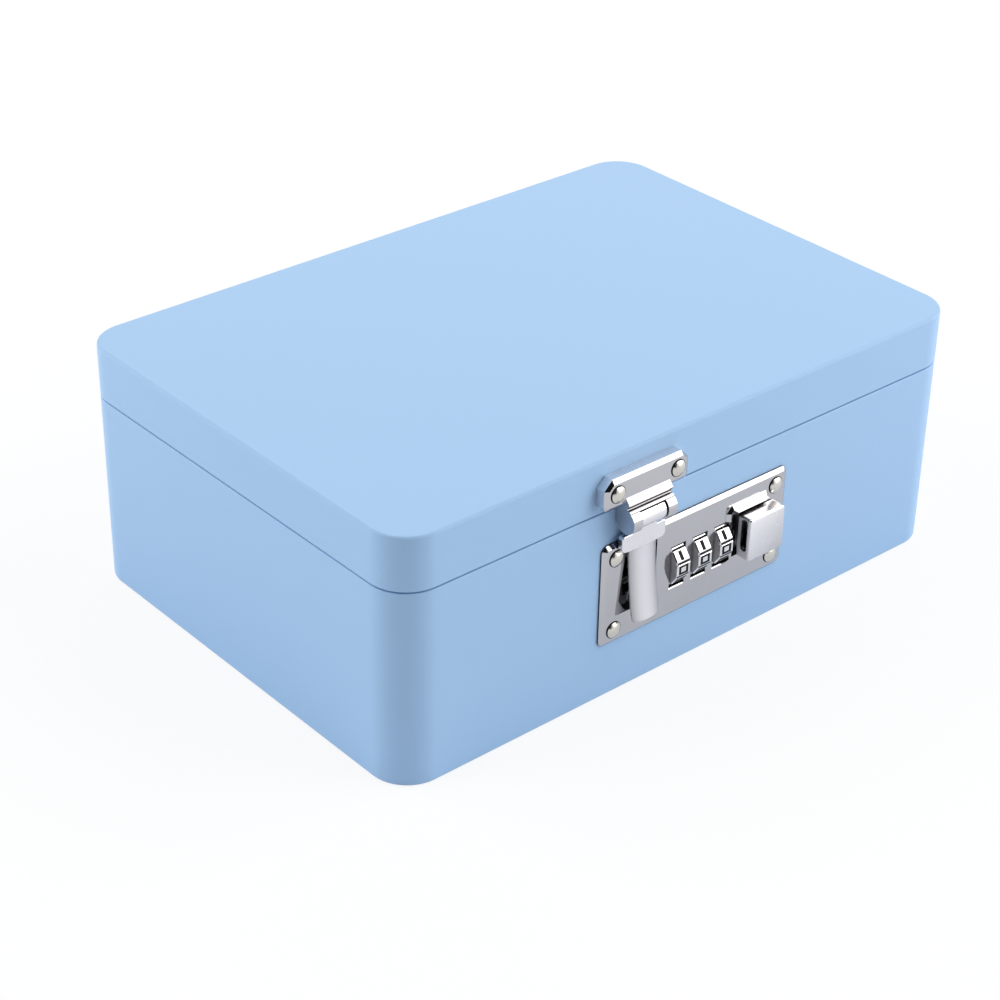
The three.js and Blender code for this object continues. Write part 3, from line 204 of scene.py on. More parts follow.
def ray_kinds(shading):
    camera_ray = shading.node("LightPath", output="Is Camera Ray")
    glossy_ray = shading.node("LightPath", output="Is Glossy Ray")
    glass_ray = shading.node("LightPath", output="Is Transmission Ray")
    return camera_ray, glossy_ray.math("MAXIMUM", glossy_ray, glass_ray)


floor = rectangle("floor", FLOOR_SIZE, FLOOR_SIZE)
floor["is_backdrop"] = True
floor_material, shading = new_material("floor_white")
floor.data.materials.append(floor_material)
lit = shading.node("BsdfDiffuse", inputs={"Color": FLOOR_COLOR})
glow = shading.node("Emission", inputs={"Color": WHITE, "Strength": 1.0})
seen, mirrored = ray_kinds(shading)
share = FLOOR_GLOW * seen + FLOOR_MIRRORED * mirrored
surface = shading.node("MixShader", inputs={0: share, 1: lit, 2: glow})
shading.node("OutputMaterial", inputs={"Surface": surface})
print("floor width in m:", FLOOR_SIZE)

# %% World
WORLD_LIGHT = 0.40
WORLD_COLOR = (0.95, 1, 1.10, 1)

world = bpy.data.worlds.new("studio_world")
world.use_nodes = True
bpy.context.scene.world = world
shading = Shading(world.node_tree)
dim = shading.node("Background", inputs={"Color": WORLD_COLOR, "Strength": WORLD_LIGHT})
white = shading.node("Background", inputs={"Color": WHITE, "Strength": 1.0})
seen, mirrored = ray_kinds(shading)
share = seen.math("MAXIMUM", seen, mirrored)
surface = shading.node("MixShader", inputs={0: share, 1: dim, 2: white})
shading.node("OutputWorld", inputs={"Surface": surface})
print("world strength:", WORLD_LIGHT)

# %% [markdown]
# ## The lamps
# One large soft lamp stands in front on the right, one behind on the left, and a weak one
# behind on the right. The front and the left side each get one of the two strong lamps at the
# same slant, so both are lit alike. The upright corner between them faces neither lamp and is
# the darkest, and the top gets all three and is the lightest. Area lamps this large give soft
# shadows without more than three of them.

# %% Lamps
LAMP_COLOR = (1.03, 1, 0.93)
LAMP_AIM = Vector((0, 0, 0.03))


def toward(azimuth, elevation):
    turn, lift = math.radians(azimuth), math.radians(elevation)
    return Vector((math.sin(turn) * math.cos(lift), -math.cos(turn) * math.cos(lift), math.sin(lift)))


def soft_lamp(name, azimuth, elevation, distance, size, power):
    away = toward(azimuth, elevation)
    data = bpy.data.lights.new(name, "AREA")
    data.shape = "SQUARE"
    data.size = size
    data.energy = power
    data.color = LAMP_COLOR
    lamp = bpy.data.objects.new(name, data)
    lamp.location = away * distance + LAMP_AIM
    lamp.rotation_euler = (-away).to_track_quat("-Z", "Y").to_euler()
    bpy.context.scene.collection.objects.link(lamp)
    print(name, "power in W:", power)


soft_lamp("lamp_right", azimuth=48, elevation=32, distance=1.3, size=1.4, power=16.5)
soft_lamp("lamp_left", azimuth=-128, elevation=30, distance=1.3, size=1.3, power=13.0)
soft_lamp("lamp_back", azimuth=139, elevation=32, distance=1.5, size=1.4, power=4.5)

# %% [markdown]
# ## A dark card
# Polished metal shows whatever stands around it. A studio is dark behind the photographer,
# and a plain black card there gives the domes and bevels their dark lines. A dark patch in the
# world would do that too, but a card has crisp edges. It is a stage object, and it is hidden
# from the camera so that no view shows it.

# %% Dark card
CARD_SIZE = (1.75, 1.08)
CARD_DISTANCE = 1.1

dark_card = rectangle("dark_card", *CARD_SIZE)
away = toward(azimuth=-39, elevation=28)
dark_card.location = away * CARD_DISTANCE
dark_card.rotation_euler = (-away).to_track_quat("Z", "Y").to_euler()
dark_card.visible_camera = False
dark_card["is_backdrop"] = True
card_black, shading = new_material("dark_card")
dark_card.data.materials.append(card_black)
black = shading.node("BsdfDiffuse", inputs={"Color": (0.01, 0.01, 0.01, 1)})
shading.node("OutputMaterial", inputs={"Surface": black})
print("card width and height in m:", *CARD_SIZE)

# %% [markdown]
# ## Finishes
# Powder coat is a satin paint with a very fine pebbled skin. Chromed castings are near
# mirrors, and what makes them look real is a trace of haze, so their roughness wanders a
# little. The flap and the button are satin nickel, with painted shade that makes them a little
# darker towards the flap's two edges and the button's lower right. The wheels' ends and the
# slot's edge are only ground, and the numbers are dark enamel. Pictures of real metal could be
# wrapped round the pieces, but a recipe has no seams. One serves them all: two near tones,
# blended by a soft noise, and a fine grain for the bump. `band` blends to another colour away
# from a middle line, and `fade` does so along a direction, from a start to an end; both paint
# shade into the colour.

# %% One recipe for every finish
BAND_POWER = 2.2


def material(name, slot, color, second, blend_scale, metallic, roughness, haze, grain_scale, grain_depth,
             gloss=0.5, band=None, fade=None):
    made, shading = new_material(name)
    place = shading.node("TexCoord", output="Object")
    cloud = shading.node("TexNoise", inputs={"Vector": place, "Scale": blend_scale, "Detail": 3.0})
    grain = shading.node("TexNoise", inputs={"Vector": place, "Scale": grain_scale, "Detail": 2.0})
    bump = shading.node("Bump", inputs={"Height": grain, "Strength": 1.0, "Distance": grain_depth})
    tone = shading.mix(cloud, color, second)
    # `band` paints shade: the colour darkens away from the middle line.
    if band:
        middle, reach, edge_color = band
        across = shading.node("SeparateXYZ", inputs={"Vector": place})
        edge_shade = across.math("ABSOLUTE", (across - middle) * (1 / reach), 0)
        tone = shading.mix(edge_shade.math("MINIMUM", edge_shade.math("POWER", edge_shade, BAND_POWER), 1.0), tone, edge_color)
    # `fade` paints shade: the colour darkens along a direction.
    if fade:
        direction, start, end, far_color = fade
        along = shading.node("VectorMath", {"operation": "DOT_PRODUCT"}, {0: place, 1: direction},
                             output="Value")
        share = shading.node("MapRange", inputs={"Value": along, "From Min": start, "From Max": end})
        tone = shading.mix(share, tone, far_color)
    finish = shading.node("BsdfPrincipled", inputs={
        "Base Color": tone, "Metallic": metallic,
        "Roughness": roughness - haze / 2 + haze * cloud, "Normal": bump, "Specular IOR Level": gloss})
    shading.node("OutputMaterial", inputs={"Surface": finish})
    made["slot"] = slot
    return made


# The band is painted shade on the flap's tongue.
print("a shaded band halfway out is mixed in by", round(0.5 ** BAND_POWER, 2))

# %% Paint and metals
PAINT = material("powder_coat_blue", "blue_paint", rgb(156, 191, 229), rgb(159, 194, 231), blend_scale=9,
                 metallic=0, roughness=0.5, haze=0.06, grain_scale=2600, grain_depth=0.000006, gloss=0.38)
CHROME = material("chrome_cast", "chrome", rgb(184, 183, 187), rgb(191, 190, 194), blend_scale=60,
                  metallic=1, roughness=0.10, haze=0.06, grain_scale=900, grain_depth=0.000001)
SATIN = material("satin_nickel", "satin_metal", rgb(222, 221, 225), rgb(229, 228, 232), blend_scale=80,
                 metallic=1, roughness=0.27, haze=0.06, grain_scale=5200, grain_depth=0.000002)
# Painted shade: the flap's tongue darkens towards its two edges.
FLAP_EDGE_SHADE = material("satin_nickel_painted_edge_shade", "satin_metal", rgb(217, 216, 220), rgb(222, 221, 225), blend_scale=80,
                     metallic=1, roughness=0.30, haze=0.06, grain_scale=5200, grain_depth=0.000002,
                     band=(-0.0210, 0.0048, rgb(158, 157, 163)))
# Painted shade: the button's face darkens towards its lower right.
BUTTON_PAINTED_SHADE = material("button_nickel_painted_shade", "satin_metal", rgb(241, 240, 243), rgb(246, 245, 248), blend_scale=80,
                  metallic=1, roughness=0.27, haze=0.06, grain_scale=5200, grain_depth=0.000002,
                  fade=((0.56, 0, -0.83), -0.0242, -0.0058, rgb(192, 191, 195)))
BRUSHED = material("brushed_nickel", "satin_metal", rgb(222, 221, 224), rgb(230, 229, 232), blend_scale=300,
                   metallic=0.2, roughness=0.5, haze=0.10, grain_scale=3000, grain_depth=0.000002)
RIVET = material("rivet_nickel", "chrome", rgb(200, 196, 188), rgb(214, 210, 203), blend_scale=400,
                 metallic=1, roughness=0.20, haze=0.10, grain_scale=2400, grain_depth=0.000004)
STEEL = material("zinc_plated_steel", "steel", rgb(188, 190, 194), rgb(202, 203, 206), blend_scale=220,
                 metallic=1, roughness=0.34, haze=0.12, grain_scale=2400, grain_depth=0.000002)
WIRE = material("spring_wire", "spring_steel", rgb(120, 123, 130), rgb(140, 143, 149), blend_scale=300,
                metallic=1, roughness=0.32, haze=0.10, grain_scale=3000, grain_depth=0.000002)
# Black oxide of the works, also painted on the plate's rim as its dark reflection and contact shadow.
BLACK_OXIDE_AND_RIM_SHADE = material("black_oxide_and_painted_rim_shade", "steel", rgb(62, 62, 66), rgb(78, 78, 82), blend_scale=260,
                     metallic=1, roughness=0.42, haze=0.12, grain_scale=2400, grain_depth=0.000003)
GROUND = material("ground_steel", "steel", rgb(168, 167, 169), rgb(178, 177, 179), blend_scale=300,
                  metallic=0.35, roughness=0.5, haze=0.10, grain_scale=3000, grain_depth=0.000002)
CUT_EDGE = material("cut_edge_grey", "chrome", rgb(134, 135, 138), rgb(142, 143, 146), blend_scale=260,
                    metallic=0, roughness=0.5, haze=0.10, grain_scale=2400, grain_depth=0.000002)
# Black enamel of the numbers, also painted as shade in the wheels' grooves and under the hasp's lip and cap,
# and as the dark reflection at the rivets' feet.
ENAMEL_AND_SHADE = material("black_enamel_and_painted_shade", "spring_steel", rgb(12, 12, 13), rgb(20, 20, 22), blend_scale=600,
                  metallic=0, roughness=0.6, haze=0.1, grain_scale=3000, grain_depth=0.000002, gloss=0.15)
print("materials so far:", len(bpy.data.materials))

# %% [markdown]
# ## Rings and stacks
# Most pieces of a sheet or cast product are outlines raised through a few levels. They could
# be extruded by hand, but a helper that stacks rings of points and closes the ends keeps every
# size in one place. `corner_ring` is a rectangle with rounded corners, drawn in by an inset.
# `quarter` rounds a profile from one point to the next, and `curve` bends from one point to
# another, pulled towards a third. Points on the lock are written as x, height, and depth
# outward from the front wall.

# %% Rings
FRONT = 67.5


def at_front(x, z, depth):
    return Vector((x, -FRONT - depth, z)) * MM


def corner_ring(x0, x1, y0, y1, radii, inset=0.0, steps=8):
    centres = ((x0, y0, 1, 1), (x1, y0, -1, 1), (x1, y1, -1, -1), (x0, y1, 1, -1))
    ring = []
    for number, (x, y, right, up) in enumerate(centres):
        full = radii[number] if isinstance(radii, (list, tuple)) else radii
        radius = max(full - inset, 0.05 * full)
        count = steps[number] if isinstance(steps, (list, tuple)) else steps
        cx, cy = x + right * (inset + radius), y + up * (inset + radius)
        for k in range(count + 1):
            angle = math.pi + (number + k / count) * math.pi / 2
            ring.append((cx + radius * math.cos(angle), cy + radius * math.sin(angle)))
    return ring


def circle(radius, across, up, sides):
    turns = [2 * math.pi * k / sides for k in range(sides)]
    return [(across + radius * math.cos(a), up + radius * math.sin(a)) for a in turns]


print("a ring with four corners has", len(corner_ring(0, 10, 0, 10, 2)), "points")

# %% Rounded profiles
def quarter(start, end, inset_first, steps=6):
    points = []
    for k in range(steps + 1):
        sine = math.sin(k / steps * math.pi / 2)
        rise = 1 - math.cos(k / steps * math.pi / 2)
        a, b = (sine, rise) if inset_first else (rise, sine)
        points.append((start[0] + (end[0] - start[0]) * a, start[1] + (end[1] - start[1]) * b))
    return points


def bend(start, middle, end, t):
    return tuple((1 - t) ** 2 * a + 2 * t * (1 - t) * b + t * t * c for a, b, c in zip(start, middle, end))


def curve(start, middle, end, steps=5):
    return [bend(start, middle, end, k / steps) for k in range(steps + 1)]


print("halfway along a curve:", bend((0, 0), (1, 0), (1, 1), 0.5))

# %% Stacks
def face_out(made):
    editable = bmesh.new()
    editable.from_mesh(made.data)
    bmesh.ops.remove_doubles(editable, verts=editable.verts, dist=1e-7)
    bmesh.ops.recalc_face_normals(editable, faces=editable.faces)
    editable.to_mesh(made.data)
    editable.free()


def stack(name, rings):
    count = len(rings[0])
    points = [point for ring in rings for point in ring]
    faces = []
    for j in range(len(rings) - 1):
        low, high = j * count, (j + 1) * count
        for k in range(count):
            following = (k + 1) % count
            faces.append((low + k, low + following, high + following, high + k))
    faces.append(tuple(range(count - 1, -1, -1)))
    faces.append(tuple(range((len(rings) - 1) * count, len(rings) * count)))
    mesh = bpy.data.meshes.new(name)
    mesh.from_pydata(points, [], faces)
    made = bpy.data.objects.new(name, mesh)
    bpy.context.scene.collection.objects.link(made)
    face_out(made)
    return made


print("a stack is closed at both ends")

# %% Simple solids at the front
def slab(outline, depth0, depth1, name="cutter"):
    return stack(name, [[at_front(x, z, depth) for x, z in outline] for depth in (depth0, depth1)])


def block(x0, x1, depth0, depth1, z0, z1):
    return slab([(x0, z0), (x1, z0), (x1, z1), (x0, z1)], depth0, depth1)


def post(radius, x, z, depth0, depth1):
    return slab(circle(radius, x, z, 40), depth0, depth1)


def side_slab(outline, x0, x1, name="cutter"):
    return stack(name, [[at_front(x, z, depth) for depth, z in outline] for x in (x0, x1)])


def bar(radius, x0, x1, depth, z, sides=64, name="cutter"):
    return side_slab(circle(radius, depth, z, sides), x0, x1, name)


def front_rings(name, size, radii, profile, steps=8):
    return stack(name, [[at_front(x, z, depth) for x, z in corner_ring(*size, radii, inset, steps)]
                        for inset, depth in profile])


print("solids at the front: slab, block, post, side slab, bar and rings")

# %% [markdown]
# ## Cutting, softening and finishing
# Holes are cut with the exact Boolean, because it keeps flat faces flat. A thin Bevel then
# softens the edges so that they catch the light, as on a real casting, and the normals are
# smoothed up to an angle. Each step is baked into the mesh before the next. `dress` also hangs
# the piece on the body that carries it, gives it its finish, and hides the imported nodes that
# it stands for. `repaint` gives a second finish to the faces that a test picks.

# %% Cutting and softening
def bake(made):
    shape = bpy.data.meshes.new_from_object(made.evaluated_get(bpy.context.evaluated_depsgraph_get()))
    made.modifiers.clear()
    made.data = shape


def combine(made, tools, operation="DIFFERENCE"):
    for tool in tools:
        step = made.modifiers.new("shape", "BOOLEAN")
        step.operation = operation
        step.solver = "EXACT"
        step.object = tool
        bake(made)
        bpy.data.objects.remove(tool)


def soften(made, width, segments=2, angle=30):
    step = made.modifiers.new("edge", "BEVEL")
    step.width = width * MM
    step.segments = segments
    step.limit_method = "ANGLE"
    step.angle_limit = math.radians(angle)
    bake(made)


print("cutting and softening are baked step by step")

# %% Finishing a piece
def dress(made, body, finish, *nodes, smooth=34):
    made.data.materials.clear()
    made.data.materials.append(finish)
    made.data.shade_smooth()
    made.data.set_sharp_from_angle(angle=math.radians(smooth))
    flats = made.modifiers.new("flats", "WEIGHTED_NORMAL")
    flats.keep_sharp = True
    flats.weight = 100
    bake(made)
    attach(made, body)
    if nodes:
        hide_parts(*nodes)
    print(made.name, "faces:", len(made.data.polygons))


def repaint(made, finish, chosen):
    made.data.materials.append(finish)
    index = len(made.data.materials) - 1
    count = 0
    for face in made.data.polygons:
        x, y, z = face.center / MM
        if face.material_index == 0 and chosen(face, x, -y - FRONT, z):
            face.material_index = index
            count += 1
    print(made.name, finish.name, "on faces:", count)


print("each dressed piece prints its faces")

# %% Joining pieces
def join(name, parts):
    mesh = bpy.data.meshes.new(name)
    editable = bmesh.new()
    for part in parts:
        editable.from_mesh(part.data)
        bpy.data.objects.remove(part)
    editable.to_mesh(mesh)
    editable.free()
    made = bpy.data.objects.new(name, mesh)
    bpy.context.scene.collection.objects.link(made)
    return made


print("joined pieces are one mesh")

# %% [markdown]
# ## The lower box
# The real tub is deep-drawn sheet with a drawn-in neck that the lid slides over. A plain box
# with a Solidify modifier would have no neck, so one closed skin goes up the outside, over the
# neck and down the inside, as rings of the same footprint drawn in by a different amount at
# each height. Two mouths are cut in the front wall for the lock's works and for the hook.

# %% Lower box
LENGTH, DEPTH, HEIGHT = 195, 135, 72
SHEET = 0.8
CORNER, CORNER_STEPS = 11.1, 20
BODY_TOP, LID_LOW = 56.4, 56.8
NECK_IN, NECK_TOP = 1.2, 60.4
NECK_FOOT = BODY_TOP - 0.9
RIM, BOTTOM_EDGE, LID_EDGE = 0.35, 0.9, 0.8
WORKS_MOUTH = (-29.8, 28.6, -2, 1, 24.2, 39.9)
HOOK_MOUTH = (-27.4, -15, -2, 1, 30, 43.4)


def footprint(name, profile):
    rings = []
    for inset, height in profile:
        ring = corner_ring(-LENGTH / 2, LENGTH / 2, -DEPTH / 2, DEPTH / 2, CORNER, inset, CORNER_STEPS)
        rings.append([Vector((x, y, height)) * MM for x, y in ring])
    return stack(name, rings)


inner = SHEET + BOTTOM_EDGE
tub = footprint("lower_box", [
    *quarter((BOTTOM_EDGE, 0), (0, BOTTOM_EDGE), True),
    *quarter((0, BODY_TOP - RIM), (RIM, BODY_TOP), False),
    (NECK_IN, BODY_TOP),
    *quarter((NECK_IN, NECK_TOP - RIM), (NECK_IN + RIM, NECK_TOP), False),
    (NECK_IN + SHEET, NECK_TOP), (NECK_IN + SHEET, NECK_FOOT), (SHEET, NECK_FOOT),
    *quarter((SHEET, inner), (inner, SHEET), False)])
combine(tub, [block(*WORKS_MOUTH), block(*HOOK_MOUTH)])
dress(tub, "body", PAINT, "body_tub")

# %% [markdown]
# ## The lid
# The lid is the same skin again, shallow and upside down: down the inside, round the rim, up
# the outside and over the top edge. Rings let the rim and the top edge each have a rounding of
# their own.

# %% Lid
ceiling = HEIGHT - SHEET
lid = footprint("lid", [
    *quarter((SHEET + LID_EDGE, ceiling), (SHEET, ceiling - LID_EDGE), True),
    (SHEET, LID_LOW),
    *quarter((RIM, LID_LOW), (0, LID_LOW + RIM), True),
    *quarter((0, HEIGHT - LID_EDGE), (LID_EDGE, HEIGHT), False)])
dress(lid, "lid", PAINT, "lid_shell")

# %% [markdown]
# ## The lock plate
# A cast plate with an upright rim and a sloped edge, and a low collar round the button. Both
# are rings again: a ring drawn in while it rises makes the slope, where a Bevel would first
# need its edges picked. The collar is joined on, so that one skin is left.

# %% Plate and collar
PLATE_THICK = 1.2
PLATE_BOX = (-33.6, 32.4, 16.5, 46.6)
PLATE_WALL, PLATE_SLOPE = 0.45, 1.1
COLLAR_BOX = (9.85, 25, 25.2, 42.1)
COLLAR_TOP = 2.1

plate = front_rings("lock_plate_cast", PLATE_BOX, radii=2,
                    profile=[(0, 0), (0, PLATE_WALL), (PLATE_SLOPE, PLATE_THICK)])
collar = front_rings("collar", COLLAR_BOX, radii=[1.2, 1.2, 1.2, 2.0],
                     profile=[(0, 0.3), (0, PLATE_THICK), (1, COLLAR_TOP)], steps=[6, 6, 6, 1])
combine(plate, [collar], "UNION")
left, right, low, high = PLATE_BOX
print("plate width and height in mm:", round(right - left, 2), round(high - low, 2))

# %% [markdown]
# The openings are cut next: the collar's inside, a hole for the button, a window for each
# wheel with a bright chamfer along its foot, and the slot for the hook. On the left and at the
# lower left corner the slot is wider at the face than behind it, and that slope shows as a
# grey edge beside the tongue. Cutters can be stacks too, so the slot's two outlines make the
# slope in one cut. The thin bevel afterwards gives each cut its bright line.

# %% Openings of the plate
WHEELS_X = (-7.25, 0.55, 8.35)
WINDOW_HALF = 2.7
WINDOW_LOW, WINDOW_HIGH = 25.21, 37.8
WINDOW_CHAMFER = [(0.97, 25.21), (1.3, 24.88), (1.3, 25.7), (0.97, 25.7)]
SLOT_RIGHT, SLOT_TOP = -15, 47.6
SLOT_LEFT, SLOT_NARROWS = -27.4, 40
LEDGE = 1.3
COLLAR_INSIDE = (11.85, 26, PLATE_THICK, 3, 24.2, 39.6)
BUTTON_HOLE = (11.85, 24.2, 25.9, 39.6)
THROUGH = (-1, 3)

slot_right = [*curve((-15.8, 24.8), (SLOT_RIGHT, 24.8), (SLOT_RIGHT, 25.6)), (SLOT_RIGHT, SLOT_TOP)]
face_outline = [*slot_right, (SLOT_LEFT, SLOT_TOP), (SLOT_LEFT, SLOT_NARROWS),
                *curve((-28.83, 25.6), (-28.9, 24.8), (-28.1, 24.8))]
deep_outline = [*slot_right, (LEDGE + SLOT_LEFT, SLOT_TOP), (LEDGE + SLOT_LEFT, SLOT_NARROWS),
                *curve((-27.5, 28.6), (-26.6, 26.9), (-24.9, 24.85))]
slot_levels = ((deep_outline, THROUGH[0]), (deep_outline, PLATE_THICK - 0.3),
               (face_outline, PLATE_THICK), (face_outline, THROUGH[1]))
slot = stack("slot", [[at_front(x, z, depth) for x, z in outline] for outline, depth in slot_levels])
tools = [block(*COLLAR_INSIDE), slab(corner_ring(*BUTTON_HOLE, 0.8), *THROUGH), slot]
for x in WHEELS_X:
    span = (x - WINDOW_HALF, x + WINDOW_HALF)
    tools.append(block(*span, *THROUGH, WINDOW_LOW, WINDOW_HIGH))
    tools.append(side_slab(WINDOW_CHAMFER, *span))
combine(plate, tools)
soften(plate, width=0.18)
dress(plate, "body", CHROME, "lock_plate", smooth=18)

# %% [markdown]
# The rim of the plate is painted black as its reflection of the dark room and the contact
# shadow beside it, and the slot's sloped edge is only ground, so these faces get a finish of
# their own. A second object could carry it, but one mesh with more materials has no seam. The
# faces are picked by where their middle lies and which way they look.

# %% Rim and cut edge
PLATE_MIDDLE = (-0.6, 31.55)
RIM_FROM, RIM_DEPTH = (31.7, 13.8), 0.44
SLOT_EDGE_X, SLOT_EDGE_LOW, SLOT_EDGE_DEPTH = (-29.5, -24.6), 24, (0.85, 1.19)


def on_rim(face, x, depth, z):
    outside = abs(x - PLATE_MIDDLE[0]) > RIM_FROM[0] or abs(z - PLATE_MIDDLE[1]) > RIM_FROM[1]
    return outside and depth < RIM_DEPTH and abs(face.normal.y) < 0.3


def on_slot_edge(face, x, depth, z):
    beside = SLOT_EDGE_X[0] < x < SLOT_EDGE_X[1] and z > SLOT_EDGE_LOW
    return beside and SLOT_EDGE_DEPTH[0] < depth < SLOT_EDGE_DEPTH[1] and face.normal.y < -0.5


# The rim gets painted black as reflection and contact shadow.
repaint(plate, BLACK_OXIDE_AND_RIM_SHADE, on_rim)
repaint(plate, CUT_EDGE, on_slot_edge)

# %% [markdown]
# ## Rivets
# A rivet is a profile turned about its own line: tail, shank and a domed head. A sphere pushed
# halfway in would give the head alone, and here the same profile also clamps the sheet behind.
# Six sit on the front, and the foot of each of their bright domes is painted black as its
# reflection of the dark room. Eight sit on the hinges at the back.

# %% Rivets on the front
PLATE_RIVETS = ((-29.1, 42.3), (27.9, 42.3), (-29.1, 20.8), (27.9, 20.8))
HASP_RIVETS = ((-32, 63.2), (-11.6, 63.2))
HASP_THICK = 3.7
HEAD_RADIUS, HEAD_HEIGHT = 2.45, 1.08
DOME_STEPS = 10
FOOT = 0.12
FOOT_RADIUS, FOOT_HEIGHT = 2.25, 0.4


def turned(name, profile, x, z, depth, outward=1, sides=40):
    return stack(name, [[at_front(u, v, depth + outward * out) for u, v in circle(radius, x, z, sides)]
                        for radius, out in profile])


def rivet_profile(head, height, shank, grip, tail, tail_height):
    profile = [(0.05, -grip - tail_height), (tail, -grip - tail_height), (tail, -grip), (shank, -grip),
               (shank, 0), (head, 0)]
    rise = height - FOOT
    ball = (head ** 2 + rise ** 2) / (2 * rise)
    widest = math.asin(head / ball)
    for k in range(DOME_STEPS + 1):
        angle = widest * (1 - k / DOME_STEPS)
        profile.append((max(ball * math.sin(angle), 0.02), height - ball * (1 - math.cos(angle))))
    return profile


def front_rivet(node_name, middle, depth, grip, body):
    def on_foot(face, x, face_depth, z):
        return math.dist((x, z), middle) > FOOT_RADIUS and 0 < face_depth - depth < FOOT_HEIGHT

    profile = rivet_profile(HEAD_RADIUS, HEAD_HEIGHT, shank=1, grip=grip, tail=1.6, tail_height=0.7)
    head = turned(node_name + "_dome", profile, *middle, depth)
    dress(head, body, RIVET, node_name)
    # The ring at the foot of the dome is painted black as a reflection of the dark room.
    repaint(head, ENAMEL_AND_SHADE, on_foot)


for number, middle in enumerate(PLATE_RIVETS, 1):
    front_rivet(f"plate_rivet_{number}", middle, PLATE_THICK, 3, "body")
for number, middle in enumerate(HASP_RIVETS, 1):
    front_rivet(f"hasp_rivet_{number}", middle, HASP_THICK, 5.3, "lid")

# %% Rivets of the hinges
REAR = -DEPTH
LEAF_THICK = 0.8
HINGES = (("left", -62), ("right", 62))
HINGE_RIVETS, RIVET_SPREAD = (("body", 50.2), ("lid", 63.0)), 9

for side, middle in HINGES:
    for body, z in HINGE_RIVETS:
        for number, x in enumerate((middle - RIVET_SPREAD, middle + RIVET_SPREAD), 1):
            node_name = f"hinge_{side}_{body}_rivet_{number}"
            profile = rivet_profile(head=1.6, height=0.7, shank=0.8, grip=1.6, tail=1.4, tail_height=0.5)
            head = turned(node_name + "_dome", profile, x, z, REAR - LEAF_THICK, outward=-1)
            dress(head, body, STEEL, node_name)

# %% [markdown]
# ## Code wheels
# Each wheel is a ten-sided prism with a groove at every corner and a small chamfer along each
# flat, so each number stands on a facet of its own. A cylinder with ten sides would give the
# flats, and drawing the outline point by point gives the grooves and chamfers too.

# %% Outline of a wheel
SHAFT_DEPTH, SHAFT_Z = -2.4, 31.6
WHEEL_RADIUS, WHEEL_WIDTH = 6.5, 4.7
FLATS = 10
FLAT = WHEEL_RADIUS * math.cos(math.pi / FLATS)
GROOVE_WIDTH, GROOVE_DEPTH = 0.75, 0.45
EDGE_WIDTH, EDGE_DROP = 0.25, 0.12


def wheel_outline(inset):
    half = WHEEL_RADIUS * math.sin(math.pi / FLATS) - GROOVE_WIDTH / 2
    low = WHEEL_RADIUS - GROOVE_DEPTH - inset
    edges = ((-half, EDGE_DROP), (EDGE_WIDTH - half, 0), (half - EDGE_WIDTH, 0), (half, EDGE_DROP))
    outline = []
    for k in range(FLATS):
        angle = 2 * math.pi * k / FLATS
        corner = angle + math.pi / FLATS
        for along, drop in edges:
            out = FLAT - inset - drop
            outline.append((SHAFT_DEPTH + out * math.cos(angle) - along * math.sin(angle),
                            SHAFT_Z + out * math.sin(angle) + along * math.cos(angle)))
        outline.append((SHAFT_DEPTH + low * math.cos(corner), SHAFT_Z + low * math.sin(corner)))
    return outline


print("points round a wheel:", len(wheel_outline(0)))

# %% [markdown]
# The numbers of a real wheel are cut and filled with dark enamel. Text objects could give
# their outlines, but the strokes of such small numbers are easier to place as cells: each
# number is five rows of five, wide where a stroke runs and narrow between, and a little
# thickness keeps the cells just proud of the flat.

# %% Strokes of the numbers
COLUMNS, ROWS = (0.75, 0.3, 1.15, 0.3, 0.75), (0.6, 0.42, 0.6, 0.42, 0.6)
NUMBER_LEFT = 0.2
NUMBER_SUNK, NUMBER_PROUD = 0.05, 0.03
DIGITS = ("11111 10001 10001 10001 11111", "00100 00100 00100 00100 00100", "11111 00001 11111 10000 11111",
          "11111 00001 11111 00001 11111", "10001 10001 11111 00001 00001", "11111 10000 11111 00001 11111",
          "11111 10000 11111 10001 11111", "11111 00001 00001 00001 00001", "11111 10001 11111 10001 11111",
          "11111 10001 11111 00001 11111")


def digit_cells(number):
    top = sum(ROWS) / 2
    for row, tall in zip(DIGITS[number].split(), ROWS):
        left = -sum(COLUMNS) / 2 - NUMBER_LEFT
        for filled, wide in zip(row, COLUMNS):
            if filled == "1":
                yield left, left + wide, top - tall, top
            left += wide
        top -= tall


def number_marks(value, axis):
    spin = Matrix.Translation(axis) @ Matrix.Rotation(-2 * math.pi * value / FLATS, 4, "X")
    for x0, x1, z0, z1 in digit_cells(value):
        corners = [(x0, z0), (x1, z0), (x1, z1), (x0, z1)]
        yield stack("cell", [[spin @ (Vector((a, -level, b)) * MM) for a, b in corners]
                             for level in (FLAT - NUMBER_SUNK, FLAT + NUMBER_PROUD)])


print("cells in an 8:", len(list(digit_cells(8))))

# %% [markdown]
# The prism is stacked along its axle with both ends drawn in, and bored for the sleeve inside
# it. Its grooves are painted black as the shade inside them, and its ends are ground steel. The
# ten numbers are then turned into place and joined into one piece, which rides on the same body
# as the wheel.

# %% Wheels and numbers
CHAMFER = 0.3
BORE, BORE_REACH = 3.2, 3
LOOKS_OUT, LOOKS_ROUND, LOOKS_ASIDE = 0.93, 0.3, 0.9

